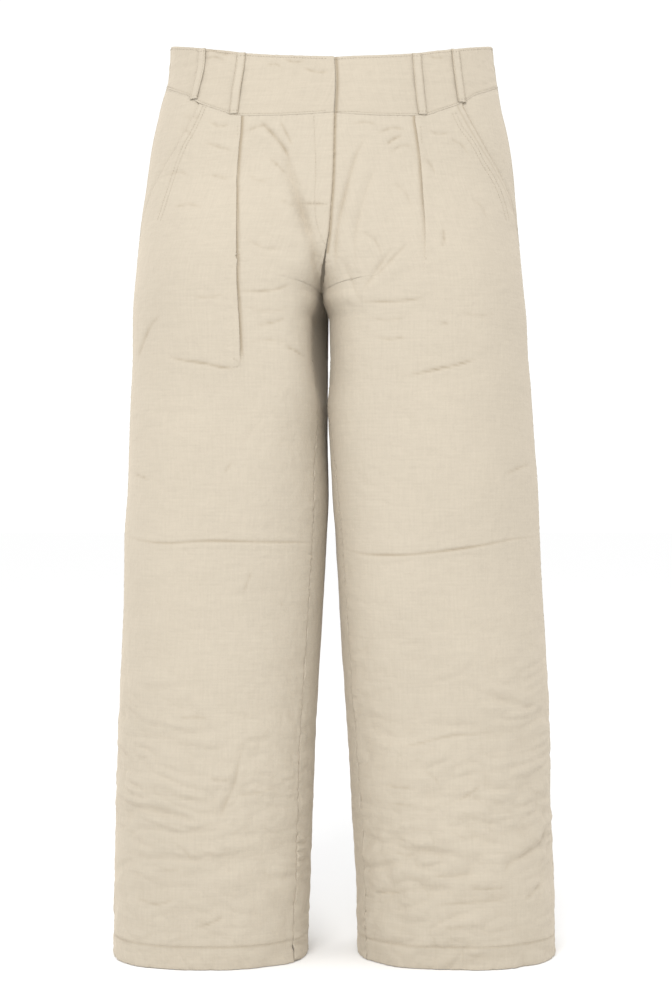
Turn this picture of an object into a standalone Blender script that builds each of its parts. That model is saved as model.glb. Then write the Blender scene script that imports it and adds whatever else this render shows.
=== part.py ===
"""Straight-leg linen trousers with a high shaped waistband, standing open as they hang when worn.

The cloth is a thin wall laid on a hollow form: one round for each leg, which grow together into
one round above the crotch. The front faces -Y and the wearer's left is +X. The origin is the
middle of the waist, at the height where the waistband is held. Everything is in metres.
"""

import math
from collections import namedtuple

import bmesh
import bpy
import numpy as np

MM = 0.001
RIGHT, LEFT = -1, 1         # the wearer's sides, which are the signs of X
SIDE_NAMES = {RIGHT: "right", LEFT: "left"}

# ---------------------------------------------------------------- cloth and making
CLOTH = 1.0 * MM            # one layer of linen
BAND_CLOTH = 1.8 * MM       # the waistband, which is two layers
LOOP_CLOTH = 1.2 * MM       # a belt loop, a strip folded double
SEAM = 0.3 * MM             # left between two pieces where they are sewn together
WAIST_SEAM = 0.5 * MM       # the same along the waistband's curved seam
LAYER = CLOTH + SEAM        # from one layer of cloth to the next one under it

# ---------------------------------------------------------------- the form
ROUNDNESS = 2.3             # power of the rings: 2 is an ellipse, more is squarer
CROTCH = -222 * MM          # lowest point of the crotch seam
FORK_TOP = -95 * MM         # above this the two rounds are one
FORK_POWER = 1.6            # how late the rounds part, which shapes the crotch curve
FORK_CLEARANCE = 0.85 * MM  # from the seam's line to the middle of the cloth at the crotch
HEM = -870 * MM             # bottom edge of the legs
SIDE_SEAM_TURN = 10.0       # degrees that the side seam sits in front of the outermost line
INSEAM_TURN = {RIGHT: 33.0, LEFT: 25.0}     # the same for the inside leg seams
INSEAM_EASE = 200 * MM      # length below the crotch over which the inseam moves forward
MIDDLE_REACH = 60 * MM      # how far from the middle its lean and the parting of the legs carry
PARTING_DEPTH = 40 * MM     # they fade out from this far before the middle to as far behind it

# Half-widths from the middle to the outside of each leg, half the gap between the legs, and how
# far the front and the back stand from the middle, in millimetres at each level. Around the
# crotch the middle of the front leans to one side, each leg parts from it, and the legs' inner
# front corners are squarer than the rest.
Section = namedtuple(
    "Section",
    "level right left gap_right gap_left front back lean part corner_right corner_left",
    defaults=(0.0, 0.0, ROUNDNESS, ROUNDNESS))
SECTIONS = (
    Section(-870, 216, 224, 24.0, 28.0, 88, 88),
    Section(-790, 215, 222, 21.0, 25.0, 88, 90),
    Section(-710, 214, 219, 18.0, 21.0, 89, 92),
    Section(-650, 212, 218, 15.5, 17.0, 90, 94, 0.0, 0.0, 2.3, 2.4),
    Section(-570, 209, 214, 11.0, 11.0, 92, 97, 0.5, 0.0, 2.3, 2.7),
    Section(-510, 207, 210, 7.5, 7.5, 93, 100, 0.8, 0.0, 2.3, 3.0),
    Section(-460, 206, 208, 4.6, 4.4, 95, 103, 0.8, 0.0, 2.3, 3.2),
    Section(-410, 203, 206, 1.4, 1.4, 97, 107, -1.2, 0.0, 2.4, 3.3),
    Section(-365, 202, 203, 1.0, 1.0, 99, 112, -4.5, 0.0, 2.6, 3.4),
    Section(-330, 201, 201, 1.0, 1.0, 100, 114, -6.8, 0.6, 3.4, 3.5),
    Section(-305, 200, 200, 1.0, 1.0, 101, 117, -8.4, 4.5, 4.6, 3.6),
    Section(-275, 199, 198, 1.0, 1.0, 103, 121, -9.6, 6.6, 5.0, 3.6),
    Section(-245, 199, 197, 1.0, 1.0, 105, 124, -10.2, 6.6, 5.0, 3.6),
    Section(-222, 198, 195, 1.0, 1.0, 107, 127, -9.8, 0.0, 4.2, 4.2),
    Section(-200, 196, 193, 0.65, 0.65, 108, 129, -7.0, 0.0, 3.7, 3.7),
    Section(-150, 191, 188, 0.65, 0.65, 108, 127, -1.0, 0.0, 2.4, 2.4),
    Section(-110, 185, 184, 0.65, 0.65, 106, 123),
    Section(-70, 179, 179, 0.65, 0.65, 103, 115),
    Section(-30, 170, 170, 0.65, 0.65, 98, 106),
    Section(0, 162, 165, 0.65, 0.65, 95, 101),
    Section(40, 159, 160, 0.65, 0.65, 91, 96),
)

# The waistband's top edge and its seam, in millimetres, by the turn in degrees from the side
# (90 is the middle of the front, -90 the middle of the back).
WaistLine = namedtuple("WaistLine", "turn top seam")
WAIST_LINES = (
    WaistLine(-90, 36, -14),
    WaistLine(-45, 34, -13),
    WaistLine(0, 31, -11),
    WaistLine(35, 20, -26),
    WaistLine(45, 16, -37),
    WaistLine(55, 12, -46),
    WaistLine(64, 8, -53),
    WaistLine(76, 5, -54),
    WaistLine(90, 3, -52),
)

# The slanted pocket opening, by level in millimetres: degrees from the side.
PocketEdge = namedtuple("PocketEdge", "level turn")
POCKET_EDGE = (
    PocketEdge(-175, SIDE_SEAM_TURN),
    PocketEdge(-145, 15),
    PocketEdge(-120, 21),
    PocketEdge(-100, 28),
    PocketEdge(-80, 35.5),
    PocketEdge(-60, 41),
    PocketEdge(-40, 45),
)
POCKET_END = -175 * MM

# One forward pleat in each front, by level in millimetres: how far its fold edge lies from the
# middle, the cloth it takes up, its turn (180 lies flat folded, 90 is a step) and its height.
Pleat = namedtuple("Pleat", "level reach depth fold height")
PLEATS = {
    RIGHT: (
        Pleat(-325, 87, 0.0, 20, 0.4),
        Pleat(-292, 87, 0.0, 60, 1.4),
        Pleat(-262, 87, 0.5, 180, 2.6),
        Pleat(-200, 90, 4.0, 180, 2.6),
        Pleat(-120, 90, 9.0, 180, 2.6),
        Pleat(-60, 86, 13.0, 180, 2.6),
    ),
    LEFT: (
        Pleat(-215, 88, 0.0, 20, 0.4),
        Pleat(-188, 88, 0.0, 60, 1.4),
        Pleat(-164, 90, 0.5, 180, 2.6),
        Pleat(-130, 88, 5.0, 180, 2.6),
        Pleat(-95, 86, 9.0, 180, 2.6),
        Pleat(-60, 81, 13.0, 180, 2.6),
    ),
}
PLEAT_RAMP = 16 * MM        # cloth on each side of a pleat that eases back to the form
PLEAT_TURN = 75.0           # degrees from the side at which a pleat's level is read
PLEAT_SPREAD = 120 * MM     # below a pleat, the length in which its lines spread out evenly

# The largest folds in the legs, in millimetres: from (x, level) to (x, level), seen from the
# front or the back, with the reach to each side and the height (below zero is a trough).
Fold = namedtuple("Fold", "face x0 level0 x1 level1 reach height")
FOLDS = (
    Fold("front", -200, -461, -25, -460, 12, -1.6),
    Fold("front", -190, -440, -40, -440, 16, 1.6),
    Fold("front", 15, -468, 205, -458, 12, -1.6),
    Fold("front", 30, -448, 190, -441, 16, 1.6),
    Fold("front", 215, -742, 170, -790, 16, 2.6),
    Fold("front", -88, -660, -115, -745, 14, -2.0),
    Fold("front", -70, -640, -98, -735, 14, 2.0),
    Fold("front", -45, -85, -16, -160, 13, -2.6),
    Fold("front", 24, -210, 62, -165, 14, -1.8),
    Fold("front", 40, -195, 76, -155, 12, 1.6),
    Fold("back", -185, -455, -30, -458, 14, -1.6),
    Fold("back", 30, -458, 190, -452, 14, -1.6),
    Fold("back", -60, -215, -120, -250, 16, -2.4),
    Fold("back", 60, -215, 120, -250, 16, -2.4),
    Fold("back", 60, -700, 110, -770, 15, 2.2),
    Fold("back", -150, -680, -100, -730, 15, -2.0),
)

# ---------------------------------------------------------------- smaller pieces
LAP_RISE = 0.5 * MM         # how far the upper front stands over the lower one at the fly
LAP_WIDTH = 20 * MM         # width over which it rises
FLY_END = -185 * MM         # bottom of the fly
LAP_FADE = 25 * MM          # length above its bottom in which the lap dies out
SHIELD_END = -168 * MM      # bottom of the layer behind the fly
BAND_TAB = 36 * MM          # underlap of the waistband behind its closing edge
BAND_DROP = BAND_CLOTH + SEAM   # how far the underlap lies behind the upper band
POCKET_BAG_END = -290 * MM  # bottom of the pocket bags
POCKET_SETBACK = 4 * MM     # from the pleat or the side seam to the edge of the pocket bag
SIDE_PIECE_EASE = 34 * MM   # width of the side piece at which it lies level with the back
HEM_TURNUP = 25 * MM        # cloth turned up inside the legs
LOOP_WIDTH = 9 * MM
LOOP_STANDOFF = 1.8 * MM    # room for a belt under the middle of a loop
LOOP_END_MARGIN = 2.5 * MM  # from the edges of the waistband to the ends of a loop
LOOP_ROWS = 8
# Belt loops: name, side, and the turn in degrees from the side seam's line round to the middle.
BeltLoop = namedtuple("BeltLoop", "name side turn")
BELT_LOOPS = (
    BeltLoop("belt_loop_front_right_inner", -1, 61.2),
    BeltLoop("belt_loop_front_right_outer", -1, 42.0),
    BeltLoop("belt_loop_front_left_inner", 1, 63.3),
    BeltLoop("belt_loop_front_left_outer", 1, 45.5),
    BeltLoop("belt_loop_back_right", -1, -48.0),
    BeltLoop("belt_loop_back_left", 1, -48.0),
    BeltLoop("belt_loop_back_middle", 1, -90.0),
)

# ---------------------------------------------------------------- mesh density
YOKE_ROWS = 4               # rows between the waistband's seam and the top of the fork
YOKE_BOTTOM = -95 * MM
FORK_ROWS = 12
FORK_CROWDING = 2.4         # how much the lines above the crotch crowd towards its seam
FORK_LINE_BEND = 50.0       # degrees from the side at which the lines above the crotch bend
LEG_LEVELS = (-226, -233, -243, -257, -274, -292, -312, -340, -380, -422, -446, -462, -478,
              -520, -570, -620, -665, -705, -745, -785, -825, -850)
HEM_ARC_ROWS = 3
FRONT_OUTER_COLUMNS = 7
FRONT_INNER_COLUMNS = 7
RAMP_COLUMNS = 2
ARC_COLUMNS = 3
BACK_COLUMNS = 13
BAND_FRONT_COLUMNS = 18
BAND_TAB_COLUMNS = 3
BAND_ROWS = 2
SIDE_PIECE_COLUMNS = 4
SHIELD_RIGHT_COLUMNS = 4
SHIELD_LEFT_COLUMNS = 2
RING_SAMPLES = 181          # points used to measure along a ring

# ---------------------------------------------------------------- colours
LINEN = (0.730, 0.640, 0.500)
LINEN_SHADE = (0.660, 0.570, 0.430)
LINEN_ROUGHNESS = 0.92


def smooth_lookup(rows, key, column, where):
    """Read one column of a table at any place, along a curve that never overshoots its rows."""
    ordered = sorted(rows, key=lambda row: getattr(row, key))
    places = np.array([getattr(row, key) for row in ordered], dtype=float)
    values = np.array([getattr(row, column) for row in ordered], dtype=float)
    steps = np.diff(places)
    rises = np.diff(values) / steps
    slopes = np.zeros(len(places))
    same_way = rises[:-1] * rises[1:] > 0
    total = np.where(same_way, rises[:-1] + rises[1:], 1.0)
    slopes[1:-1] = np.where(same_way, 2 * rises[:-1] * rises[1:] / total, 0.0)
    slopes[0], slopes[-1] = rises[0], rises[-1]
    where = np.clip(np.asarray(where, dtype=float), places[0], places[-1])
    index = np.clip(np.searchsorted(places, where, side="right") - 1, 0, len(steps) - 1)
    step = steps[index]
    share = (where - places[index]) / step
    blend = share * share * (3 - 2 * share)
    lead = share * (1 - share) ** 2 * step * slopes[index]
    trail = share * share * (share - 1) * step * slopes[index + 1]
    return values[index] * (1 - blend) + values[index + 1] * blend + lead + trail


def ease(share):
    """A smooth step from 0 to 1."""
    share = np.clip(share, 0.0, 1.0)
    return share * share * (3 - 2 * share)


def section(level, column):
    """One size of the form at a level, in metres."""
    return smooth_lookup(SECTIONS, "level", column, np.asarray(level) / MM) * MM


def waist_line(turn, column):
    """The height of the waistband's top or seam at a turn, in metres."""
    return smooth_lookup(WAIST_LINES, "turn", column, np.clip(turn, -90, 90)) * MM


def fork_share(level):
    """How far the two rounds have parted: 0 above the fork, 1 at the crotch and below."""
    return np.clip((FORK_TOP - np.asarray(level)) / (FORK_TOP - CROTCH), 0.0, 1.0)


def ring_sizes(side, level):
    """Centre of one side's ring at a level, and its half-widths outside and inside the centre.

    The outside half changes smoothly through the crotch. The inside half reaches past the middle
    above the crotch, where the middle seam cuts it off, and shapes the seam's curve.
    """
    outer = section(level, SIDE_NAMES[side])
    gap = section(level, "gap_" + SIDE_NAMES[side])
    share = fork_share(level)
    spread = 1 + FORK_POWER * share * (1 - share)
    outside = (outer - gap) / (1 + share ** FORK_POWER * spread)
    return outer - outside, outside, outside * spread


def corner_power(side, level):
    """How square the inner front corner of a leg is at a level."""
    return smooth_lookup(SECTIONS, "level", "corner_" + SIDE_NAMES[side], np.asarray(level) / MM)


def form(side, turn, level):
    """Points of the form. Turn is in degrees: 0 outside, 90 front, 180 inside leg, -90 back."""
    level = np.broadcast_to(np.asarray(level, dtype=float), np.shape(turn))
    centre, outside, inside = ring_sizes(side, level)
    front = section(level, "front")
    back = section(level, "back")
    cosine = np.cos(np.radians(turn))
    sine = np.sin(np.radians(turn))
    inner_front = (cosine < 0) & (sine > 0)
    power = 2 / np.where(inner_front, corner_power(side, level), ROUNDNESS)
    across = np.sign(cosine) * np.abs(cosine) ** power
    ahead = np.sign(sine) * np.abs(sine) ** power
    x = side * (centre + np.where(across > 0, outside, inside) * across)
    y = (back - front) / 2 - (back + front) / 2 * ahead
    in_front = ease((PARTING_DEPTH - y) / (2 * PARTING_DEPTH))
    near = np.exp(-(x / MIDDLE_REACH) ** 2) * in_front
    x = x + near * (section(level, "lean") + side * section(level, "part"))
    return np.stack([x, y, level], axis=-1)


def outward(side, turn, level):
    """Directions straight out of the form."""
    turn_step, level_step = 0.5, 1.0 * MM
    along = form(side, turn + turn_step, level) - form(side, turn - turn_step, level)
    up = form(side, turn, level + level_step) - form(side, turn, level - level_step)
    across = -side * np.cross(along, up)
    return across / np.linalg.norm(across, axis=-1, keepdims=True)


def middle_turn(side, level, behind=False):
    """Degrees from the side to where a ring above the crotch meets the middle seam."""
    centre, _, inside = ring_sizes(side, level)
    edge = SEAM / 2 + FORK_CLEARANCE * fork_share(level)
    share = np.clip((centre - edge) / inside, 0.0, 1.0)
    power = ROUNDNESS if behind else corner_power(side, level)
    return 90 + np.degrees(np.arcsin(share ** (power / 2)))


def inseam_turn(side, level):
    """Degrees that the inseam sits in front of the innermost line."""
    return INSEAM_TURN[side] * ease((CROTCH - level) / INSEAM_EASE)


class Row:
    """One line of cloth round the form, measured along its length."""

    def __init__(self, side, start, end, level_of):
        self.side = side
        self.turns = np.linspace(start, end, RING_SAMPLES)
        self.level_of = level_of
        points = form(side, self.turns, level_of(self.turns))
        steps = np.linalg.norm(np.diff(points, axis=0), axis=1)
        self.lengths = np.concatenate([[0.0], np.cumsum(steps)])
        self.points = points

    @property
    def length(self):
        """The line's whole length."""
        return self.lengths[-1]

    def turn_at(self, along):
        """The turns at distances along the line."""
        return np.interp(along, self.lengths, self.turns)

    def along_at_reach(self, reach):
        """How far along the row its point at a distance from the middle plane lies."""
        distance = np.abs(self.points[:, 0])
        front = np.argsort(distance)
        return float(np.interp(reach, distance[front], self.lengths[front]))

    def lay(self, along, height):
        """Points at distances along the row, raised off the form, with the folds added."""
        turn = self.turn_at(along)
        level = self.level_of(turn)
        base = form(self.side, turn, level)
        rise = np.asarray(height) + fold_relief(base)
        return base + outward(self.side, turn, level) * np.expand_dims(rise, -1)


def fold_relief(points):
    """Height of the large folds at points of the form."""
    rise = np.zeros(points.shape[:-1])
    for fold in FOLDS:
        facing = points[..., 1] < 0 if fold.face == "front" else points[..., 1] > 0
        start = np.array([fold.x0, fold.level0]) * MM
        run = np.array([fold.x1, fold.level1]) * MM - start
        offset = points[..., [0, 2]] - start
        share = np.clip(offset @ run / (run @ run), 0.0, 1.0)
        distance = np.linalg.norm(offset - share[..., None] * run, axis=-1)
        fade = ease(np.minimum(share, 1 - share) * 4 + 0.3)
        crest = fold.height * MM * np.exp(-(distance / (fold.reach * MM)) ** 2)
        rise = rise + np.where(facing, crest * fade, 0.0)
    return rise


def constant(level):
    """A level line that stays at one height."""
    return lambda turn: np.full(np.shape(turn), level)


def below_waist_seam(share):
    """A line between the bottom of the yoke (0) and the waistband's seam (1)."""
    def level_of(turn):
        seam = waist_line(turn, "seam") - WAIST_SEAM / 2
        return YOKE_BOTTOM + share * (seam - YOKE_BOTTOM)
    return level_of


def fork_line(side, share):
    """A line above the crotch (0 at the crotch, 1 at the yoke) that crowds towards its seam."""
    outer_level = CROTCH + (YOKE_BOTTOM - CROTCH) * share
    middle_level = CROTCH + (YOKE_BOTTOM - CROTCH) * share ** FORK_CROWDING
    front_end = float(middle_turn(side, middle_level))
    back_end = float(middle_turn(side, middle_level, behind=True))

    def level_of(turn):
        end = np.where(turn > 0, front_end, back_end)
        near = ease((np.abs(turn) - FORK_LINE_BEND) / (end - FORK_LINE_BEND))
        return outer_level + (middle_level - outer_level) * near
    return level_of, middle_level


Line = namedtuple("Line", "level_of middle_level inset")


def body_lines(side):
    """Lines of one side's panels from the waistband's seam to the hem's turned-up edge.

    Each has its level by turn, its level at the middle seam or inseam, and how far it lies inside
    the form.
    """
    lines = []
    for index in range(YOKE_ROWS, 0, -1):
        level_of = below_waist_seam(index / YOKE_ROWS)
        lines.append(Line(level_of, float(level_of(np.array([90.0]))[0]), 0.0))
    for index in range(FORK_ROWS, -1, -1):
        level_of, middle_level = fork_line(side, index / FORK_ROWS)
        lines.append(Line(level_of, middle_level, 0.0))
    for level in LEG_LEVELS:
        lines.append(Line(constant(level * MM), level * MM, 0.0))
    radius = LAYER / 2
    for index in range(HEM_ARC_ROWS + 1):
        angle = math.pi * index / HEM_ARC_ROWS
        level = HEM + radius * (1 - math.sin(angle))
        lines.append(Line(constant(level), level, radius * (1 - math.cos(angle))))
    lines.append(Line(constant(HEM + HEM_TURNUP), HEM + HEM_TURNUP, LAYER))
    return lines


def pleat_profile(pleat_side, level):
    """Places and heights across a pleat: distance from its fold edge, and height off the form.

    Two arcs of the same turn, joined by the cloth that lies hidden, on the way to the middle.
    """
    rows = PLEATS[pleat_side]
    mm_level = level / MM
    fold = math.radians(float(smooth_lookup(rows, "level", "fold", mm_level)))
    depth = float(smooth_lookup(rows, "level", "depth", mm_level)) * MM
    height = float(smooth_lookup(rows, "level", "height", mm_level)) * MM
    radius = height / (2 * (1 - math.cos(fold)))
    if mm_level < rows[0].level:
        height = radius = depth = 0.0
    places, heights = [], []
    for index in range(ARC_COLUMNS + 1):
        angle = fold * index / ARC_COLUMNS
        places.append(radius * math.sin(angle))
        heights.append(height / 2 - radius * (1 - math.cos(angle)))
    run, drop = places[-1] + depth * math.cos(fold), -heights[-1]
    for index in range(ARC_COLUMNS + 1):
        angle = fold * (1 - index / ARC_COLUMNS)
        places.append(run + radius * (math.sin(fold) - math.sin(angle)))
        heights.append(drop - radius * (math.cos(angle) - math.cos(fold)))
    return np.array(places), np.array(heights)


def front_outer_turn(level_of):
    """Where a line of the front starts: the side seam, or the pocket's slanted edge above it."""
    turn = SIDE_SEAM_TURN
    for _ in range(12):
        level = float(level_of(np.array([turn]))[0])
        if level <= POCKET_END:
            return SIDE_SEAM_TURN
        turn = float(smooth_lookup(POCKET_EDGE, "level", "turn", level / MM))
    return turn


def front_end_turn(side, level):
    """Where a line of the front ends: the middle seam, or the inseam below the crotch."""
    if level > CROTCH:
        return float(middle_turn(side, level))
    return 180 - float(inseam_turn(side, level))


def front_line(side, line):
    """One line of a front panel: its row, the distances along it and the heights off the form.

    The distances run from the outer edge over the pleat's fold to the middle seam or inseam.
    """
    end_turn = front_end_turn(side, line.middle_level)
    row = Row(side, front_outer_turn(line.level_of), end_turn, line.level_of)
    trim_end = 0.0 if line.middle_level > CROTCH else SEAM / 2
    first, last = SEAM / 2, row.length - trim_end
    level = float(line.level_of(np.array([PLEAT_TURN]))[0])
    reach = float(smooth_lookup(PLEATS[side], "level", "reach", level / MM)) * MM
    edge = row.along_at_reach(reach)
    profile, heights = pleat_profile(side, level)
    ramp = np.linspace(0, 1, RAMP_COLUMNS + 1)[1:]
    outer = np.linspace(first, edge - PLEAT_RAMP, FRONT_OUTER_COLUMNS + 1)
    ramp_in = edge - PLEAT_RAMP * (1 - ramp)[:-1]
    ramp_out = edge + profile[-1] + PLEAT_RAMP * ramp
    inner = np.linspace(ramp_out[-1], last, FRONT_INNER_COLUMNS + 1)[1:]
    along = np.concatenate([outer, ramp_in, edge + profile, ramp_out, inner])
    rise = np.concatenate([
        np.zeros(len(outer)), heights[0] * ease(ramp[:-1]), heights,
        heights[-1] * (1 - ease(ramp)), np.zeros(len(inner))])
    pleat_end = PLEATS[side][0].level * MM
    folded = float(ease((level - pleat_end) / PLEAT_SPREAD + 1))
    even = np.linspace(first, last, len(along))
    return row, along * folded + even * (1 - folded), rise


def front_sheet(side):
    """The points of a front panel, line by line from the waist to the hem."""
    lines = []
    for line in body_lines(side):
        row, along, rise = front_line(side, line)
        if side == RIGHT:
            fade = ease((line.middle_level - FLY_END) / LAP_FADE)
            rise = rise + LAP_RISE * fade * ease((along - row.length) / LAP_WIDTH + 1)
        lines.append(row.lay(along, rise - line.inset))
    return np.array(lines)


def back_sheet(side):
    """The points of a back panel, line by line from the waist to the hem."""
    lines = []
    for line in body_lines(side):
        end_turn, trim_end = -float(middle_turn(side, line.middle_level, behind=True)), 0.0
        if line.middle_level <= CROTCH:
            end_turn, trim_end = -180 - float(inseam_turn(side, line.middle_level)), SEAM / 2
        row = Row(side, SIDE_SEAM_TURN, end_turn, line.level_of)
        along = np.linspace(SEAM / 2, row.length - trim_end, BACK_COLUMNS + 1)
        lines.append(row.lay(along, np.full(len(along), -line.inset)))
    return np.array(lines)


def band_sheet(side, start, end, columns, tab=0.0):
    """The points of a waistband piece between two turns, with an underlap past the middle."""
    lines = []
    for index in range(BAND_ROWS + 1):
        share = index / BAND_ROWS

        def level_of(turn, share=share):
            seam = waist_line(turn, "seam") + WAIST_SEAM / 2
            return seam + share * (waist_line(turn, "top") - seam)
        row = Row(side, start, end, level_of)
        along = np.linspace(SEAM / 2, row.length - SEAM / 2, columns + 1)
        line = row.lay(along, np.zeros(len(along)))
        if tab:
            near = ease((along - row.length) / LAP_WIDTH + 1)[:, None]
            line[:, 1:2] += BAND_DROP * near
            past = -side * np.linspace(0, tab, BAND_TAB_COLUMNS + 1)[1:]
            flat = np.array([line[-1] + [step, 0.0, 0.0] for step in past])
            opposite = Row(-side, 0.0, 90.0, level_of)
            for point in flat:
                place = opposite.along_at_reach(abs(point[0]))
                point[:] = opposite.lay(np.array([place]), np.array([-BAND_DROP]))[0]
            line = np.concatenate([line, flat])
        lines.append(line)
    return np.array(lines)


def pocket_sheet(side):
    """The side piece that shows in the pocket opening, and the pocket bag behind the front."""
    lines = []
    for line in body_lines(side):
        if line.middle_level < POCKET_BAG_END:
            break
        front_row, along, _ = front_line(side, line)
        row = Row(side, SIDE_SEAM_TURN, front_end_turn(side, line.middle_level), line.level_of)
        level = float(line.level_of(np.array([PLEAT_TURN]))[0])
        shown = row.length - front_row.length
        depth = float(smooth_lookup(PLEATS[side], "level", "depth", level / MM)) * MM
        bag = shown + along[:FRONT_OUTER_COLUMNS + 1]
        bag[-1] = min(bag[-1], bag[-1] + PLEAT_RAMP - depth - POCKET_SETBACK)
        hidden = shown < POCKET_SETBACK * 2
        start = POCKET_SETBACK if hidden else SEAM / 2
        side_piece = np.linspace(start, bag[1], SIDE_PIECE_COLUMNS + 1)
        if not hidden:
            side_piece = np.append(np.linspace(start, bag[0], SIDE_PIECE_COLUMNS), bag[1])
        places = np.concatenate([side_piece, bag[2:]])
        at_seam = float(ease(shown / SIDE_PIECE_EASE))
        under = 1 - at_seam * (1 - ease(places / max(shown, POCKET_SETBACK)))
        lines.append(row.lay(places, -(LAYER + SEAM) * under))
    return np.array(lines)


def shield_sheet():
    """The points of the fly shield, a layer behind both fronts."""
    lines = []
    for right_line, left_line in zip(body_lines(RIGHT), body_lines(LEFT)):
        if right_line.middle_level < SHIELD_END:
            break
        right_row, right_along, _ = front_line(RIGHT, right_line)
        left_row, left_along, _ = front_line(LEFT, left_line)
        right_part = right_along[-SHIELD_RIGHT_COLUMNS:] - SEAM
        left_part = left_along[:-SHIELD_LEFT_COLUMNS - 1:-1] - SEAM
        right_points = right_row.lay(right_part, np.full(len(right_part), -LAYER - SEAM))
        left_points = left_row.lay(left_part, np.full(len(left_part), -LAYER - SEAM))
        lines.append(np.concatenate([right_points, left_points]))
    return np.array(lines)


def loop_sheet(loop):
    """The points of a belt loop, a strip that stands off the waistband between its ends."""
    turn = loop.turn
    top = float(waist_line(turn, "top")) - LOOP_END_MARGIN
    foot = float(waist_line(turn, "seam")) + LOOP_END_MARGIN
    seat = BAND_CLOTH / 2 + SEAM + LOOP_CLOTH / 2
    lines = []
    for index in range(LOOP_ROWS + 1):
        share = index / LOOP_ROWS
        level = top + (foot - top) * share
        stand = seat + LOOP_STANDOFF * math.sin(math.pi * share) ** 0.7
        centre = form(loop.side, np.array([turn]), level)[0]
        normal = outward(loop.side, np.array([turn]), np.array([level]))[0]
        across = np.cross(normal, (0.0, 0.0, 1.0))
        across = across / np.linalg.norm(across)
        lines.append([centre + normal * stand + across * LOOP_WIDTH * step
                      for step in (-0.5, 0.5)])
    return np.array(lines)


def linen_material(name, colour):
    """A plain dyed linen."""
    material = bpy.data.materials.new(name)
    material.use_nodes = True
    shader = material.node_tree.nodes["Principled BSDF"]
    shader.inputs["Base Color"].default_value = (*colour, 1.0)
    shader.inputs["Roughness"].default_value = LINEN_ROUGHNESS
    shader.inputs["Metallic"].default_value = 0.0
    return material


def cloth_piece(name, points, thickness, collection, colour=LINEN):
    """A piece of cloth: a grid laid on its points, given its thickness by Solidify."""
    rows, columns = points.shape[0] - 1, points.shape[1] - 1
    sheet = bmesh.new()
    bmesh.ops.create_grid(sheet, x_segments=columns, y_segments=rows, size=1.0)
    sheet.verts.ensure_lookup_table()
    for vertex, point in zip(sheet.verts, points.reshape(-1, 3)):
        vertex.co = point
    mesh = bpy.data.meshes.new(name)
    sheet.to_mesh(mesh)
    sheet.free()
    mesh.shade_smooth()
    piece = bpy.data.objects.new(name, mesh)
    collection.objects.link(piece)
    wall = piece.modifiers.new("cloth_thickness", "SOLIDIFY")
    wall.thickness = thickness
    wall.offset = 0.0
    wall.use_even_offset = True
    wall.use_quality_normals = True
    mesh.materials.append(linen_material(name + "_linen", colour))
    return piece


def build_panels(collection):
    """The four leg panels."""
    for side, name in SIDE_NAMES.items():
        cloth_piece("front_" + name, front_sheet(side), CLOTH, collection)
        cloth_piece("back_" + name, back_sheet(side), CLOTH, collection)


def build_waistband(collection):
    """The shaped waistband: two fronts and a back."""
    cloth_piece("waistband_right", band_sheet(RIGHT, SIDE_SEAM_TURN, 90.0, BAND_FRONT_COLUMNS),
                BAND_CLOTH, collection)
    cloth_piece("waistband_left",
                band_sheet(LEFT, SIDE_SEAM_TURN, 90.0, BAND_FRONT_COLUMNS, BAND_TAB),
                BAND_CLOTH, collection)
    right_half = band_sheet(RIGHT, SIDE_SEAM_TURN, -90.0, BACK_COLUMNS)
    left_half = band_sheet(LEFT, SIDE_SEAM_TURN, -90.0, BACK_COLUMNS)
    whole = np.concatenate([right_half[:, :-1], left_half[:, -2::-1]], axis=1)
    cloth_piece("waistband_back", whole, BAND_CLOTH, collection)


def build_openings(collection):
    """The pieces behind the fronts: pockets and fly shield."""
    for side, name in SIDE_NAMES.items():
        cloth_piece("pocket_" + name, pocket_sheet(side), CLOTH, collection, LINEN_SHADE)
    cloth_piece("fly_shield", shield_sheet(), CLOTH, collection, LINEN_SHADE)


def build_belt_loops(collection):
    """Four belt loops in front and three behind."""
    for loop in BELT_LOOPS:
        cloth_piece(loop.name, loop_sheet(loop), LOOP_CLOTH, collection)


def main():
    """Build every piece in a collection of its own."""
    for old in list(bpy.data.objects):
        bpy.data.objects.remove(old, do_unlink=True)
    collection = bpy.data.collections.new("straight_leg_trousers")
    bpy.context.scene.collection.children.link(collection)
    build_panels(collection)
    build_waistband(collection)
    build_openings(collection)
    build_belt_loops(collection)


main()
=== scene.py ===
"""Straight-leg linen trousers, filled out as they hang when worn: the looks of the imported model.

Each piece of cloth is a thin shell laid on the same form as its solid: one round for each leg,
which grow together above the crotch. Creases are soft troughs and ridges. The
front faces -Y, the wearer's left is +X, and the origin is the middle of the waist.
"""
import logging
import math
from collections.abc import Callable, Sequence
from dataclasses import dataclass, field
from enum import Enum

import bpy
import numpy as np
from bpy.types import Material, Node, NodeOutputs, NodeSocket, NodeTree, Object
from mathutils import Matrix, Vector
from mathutils.bvhtree import BVHTree


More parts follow.
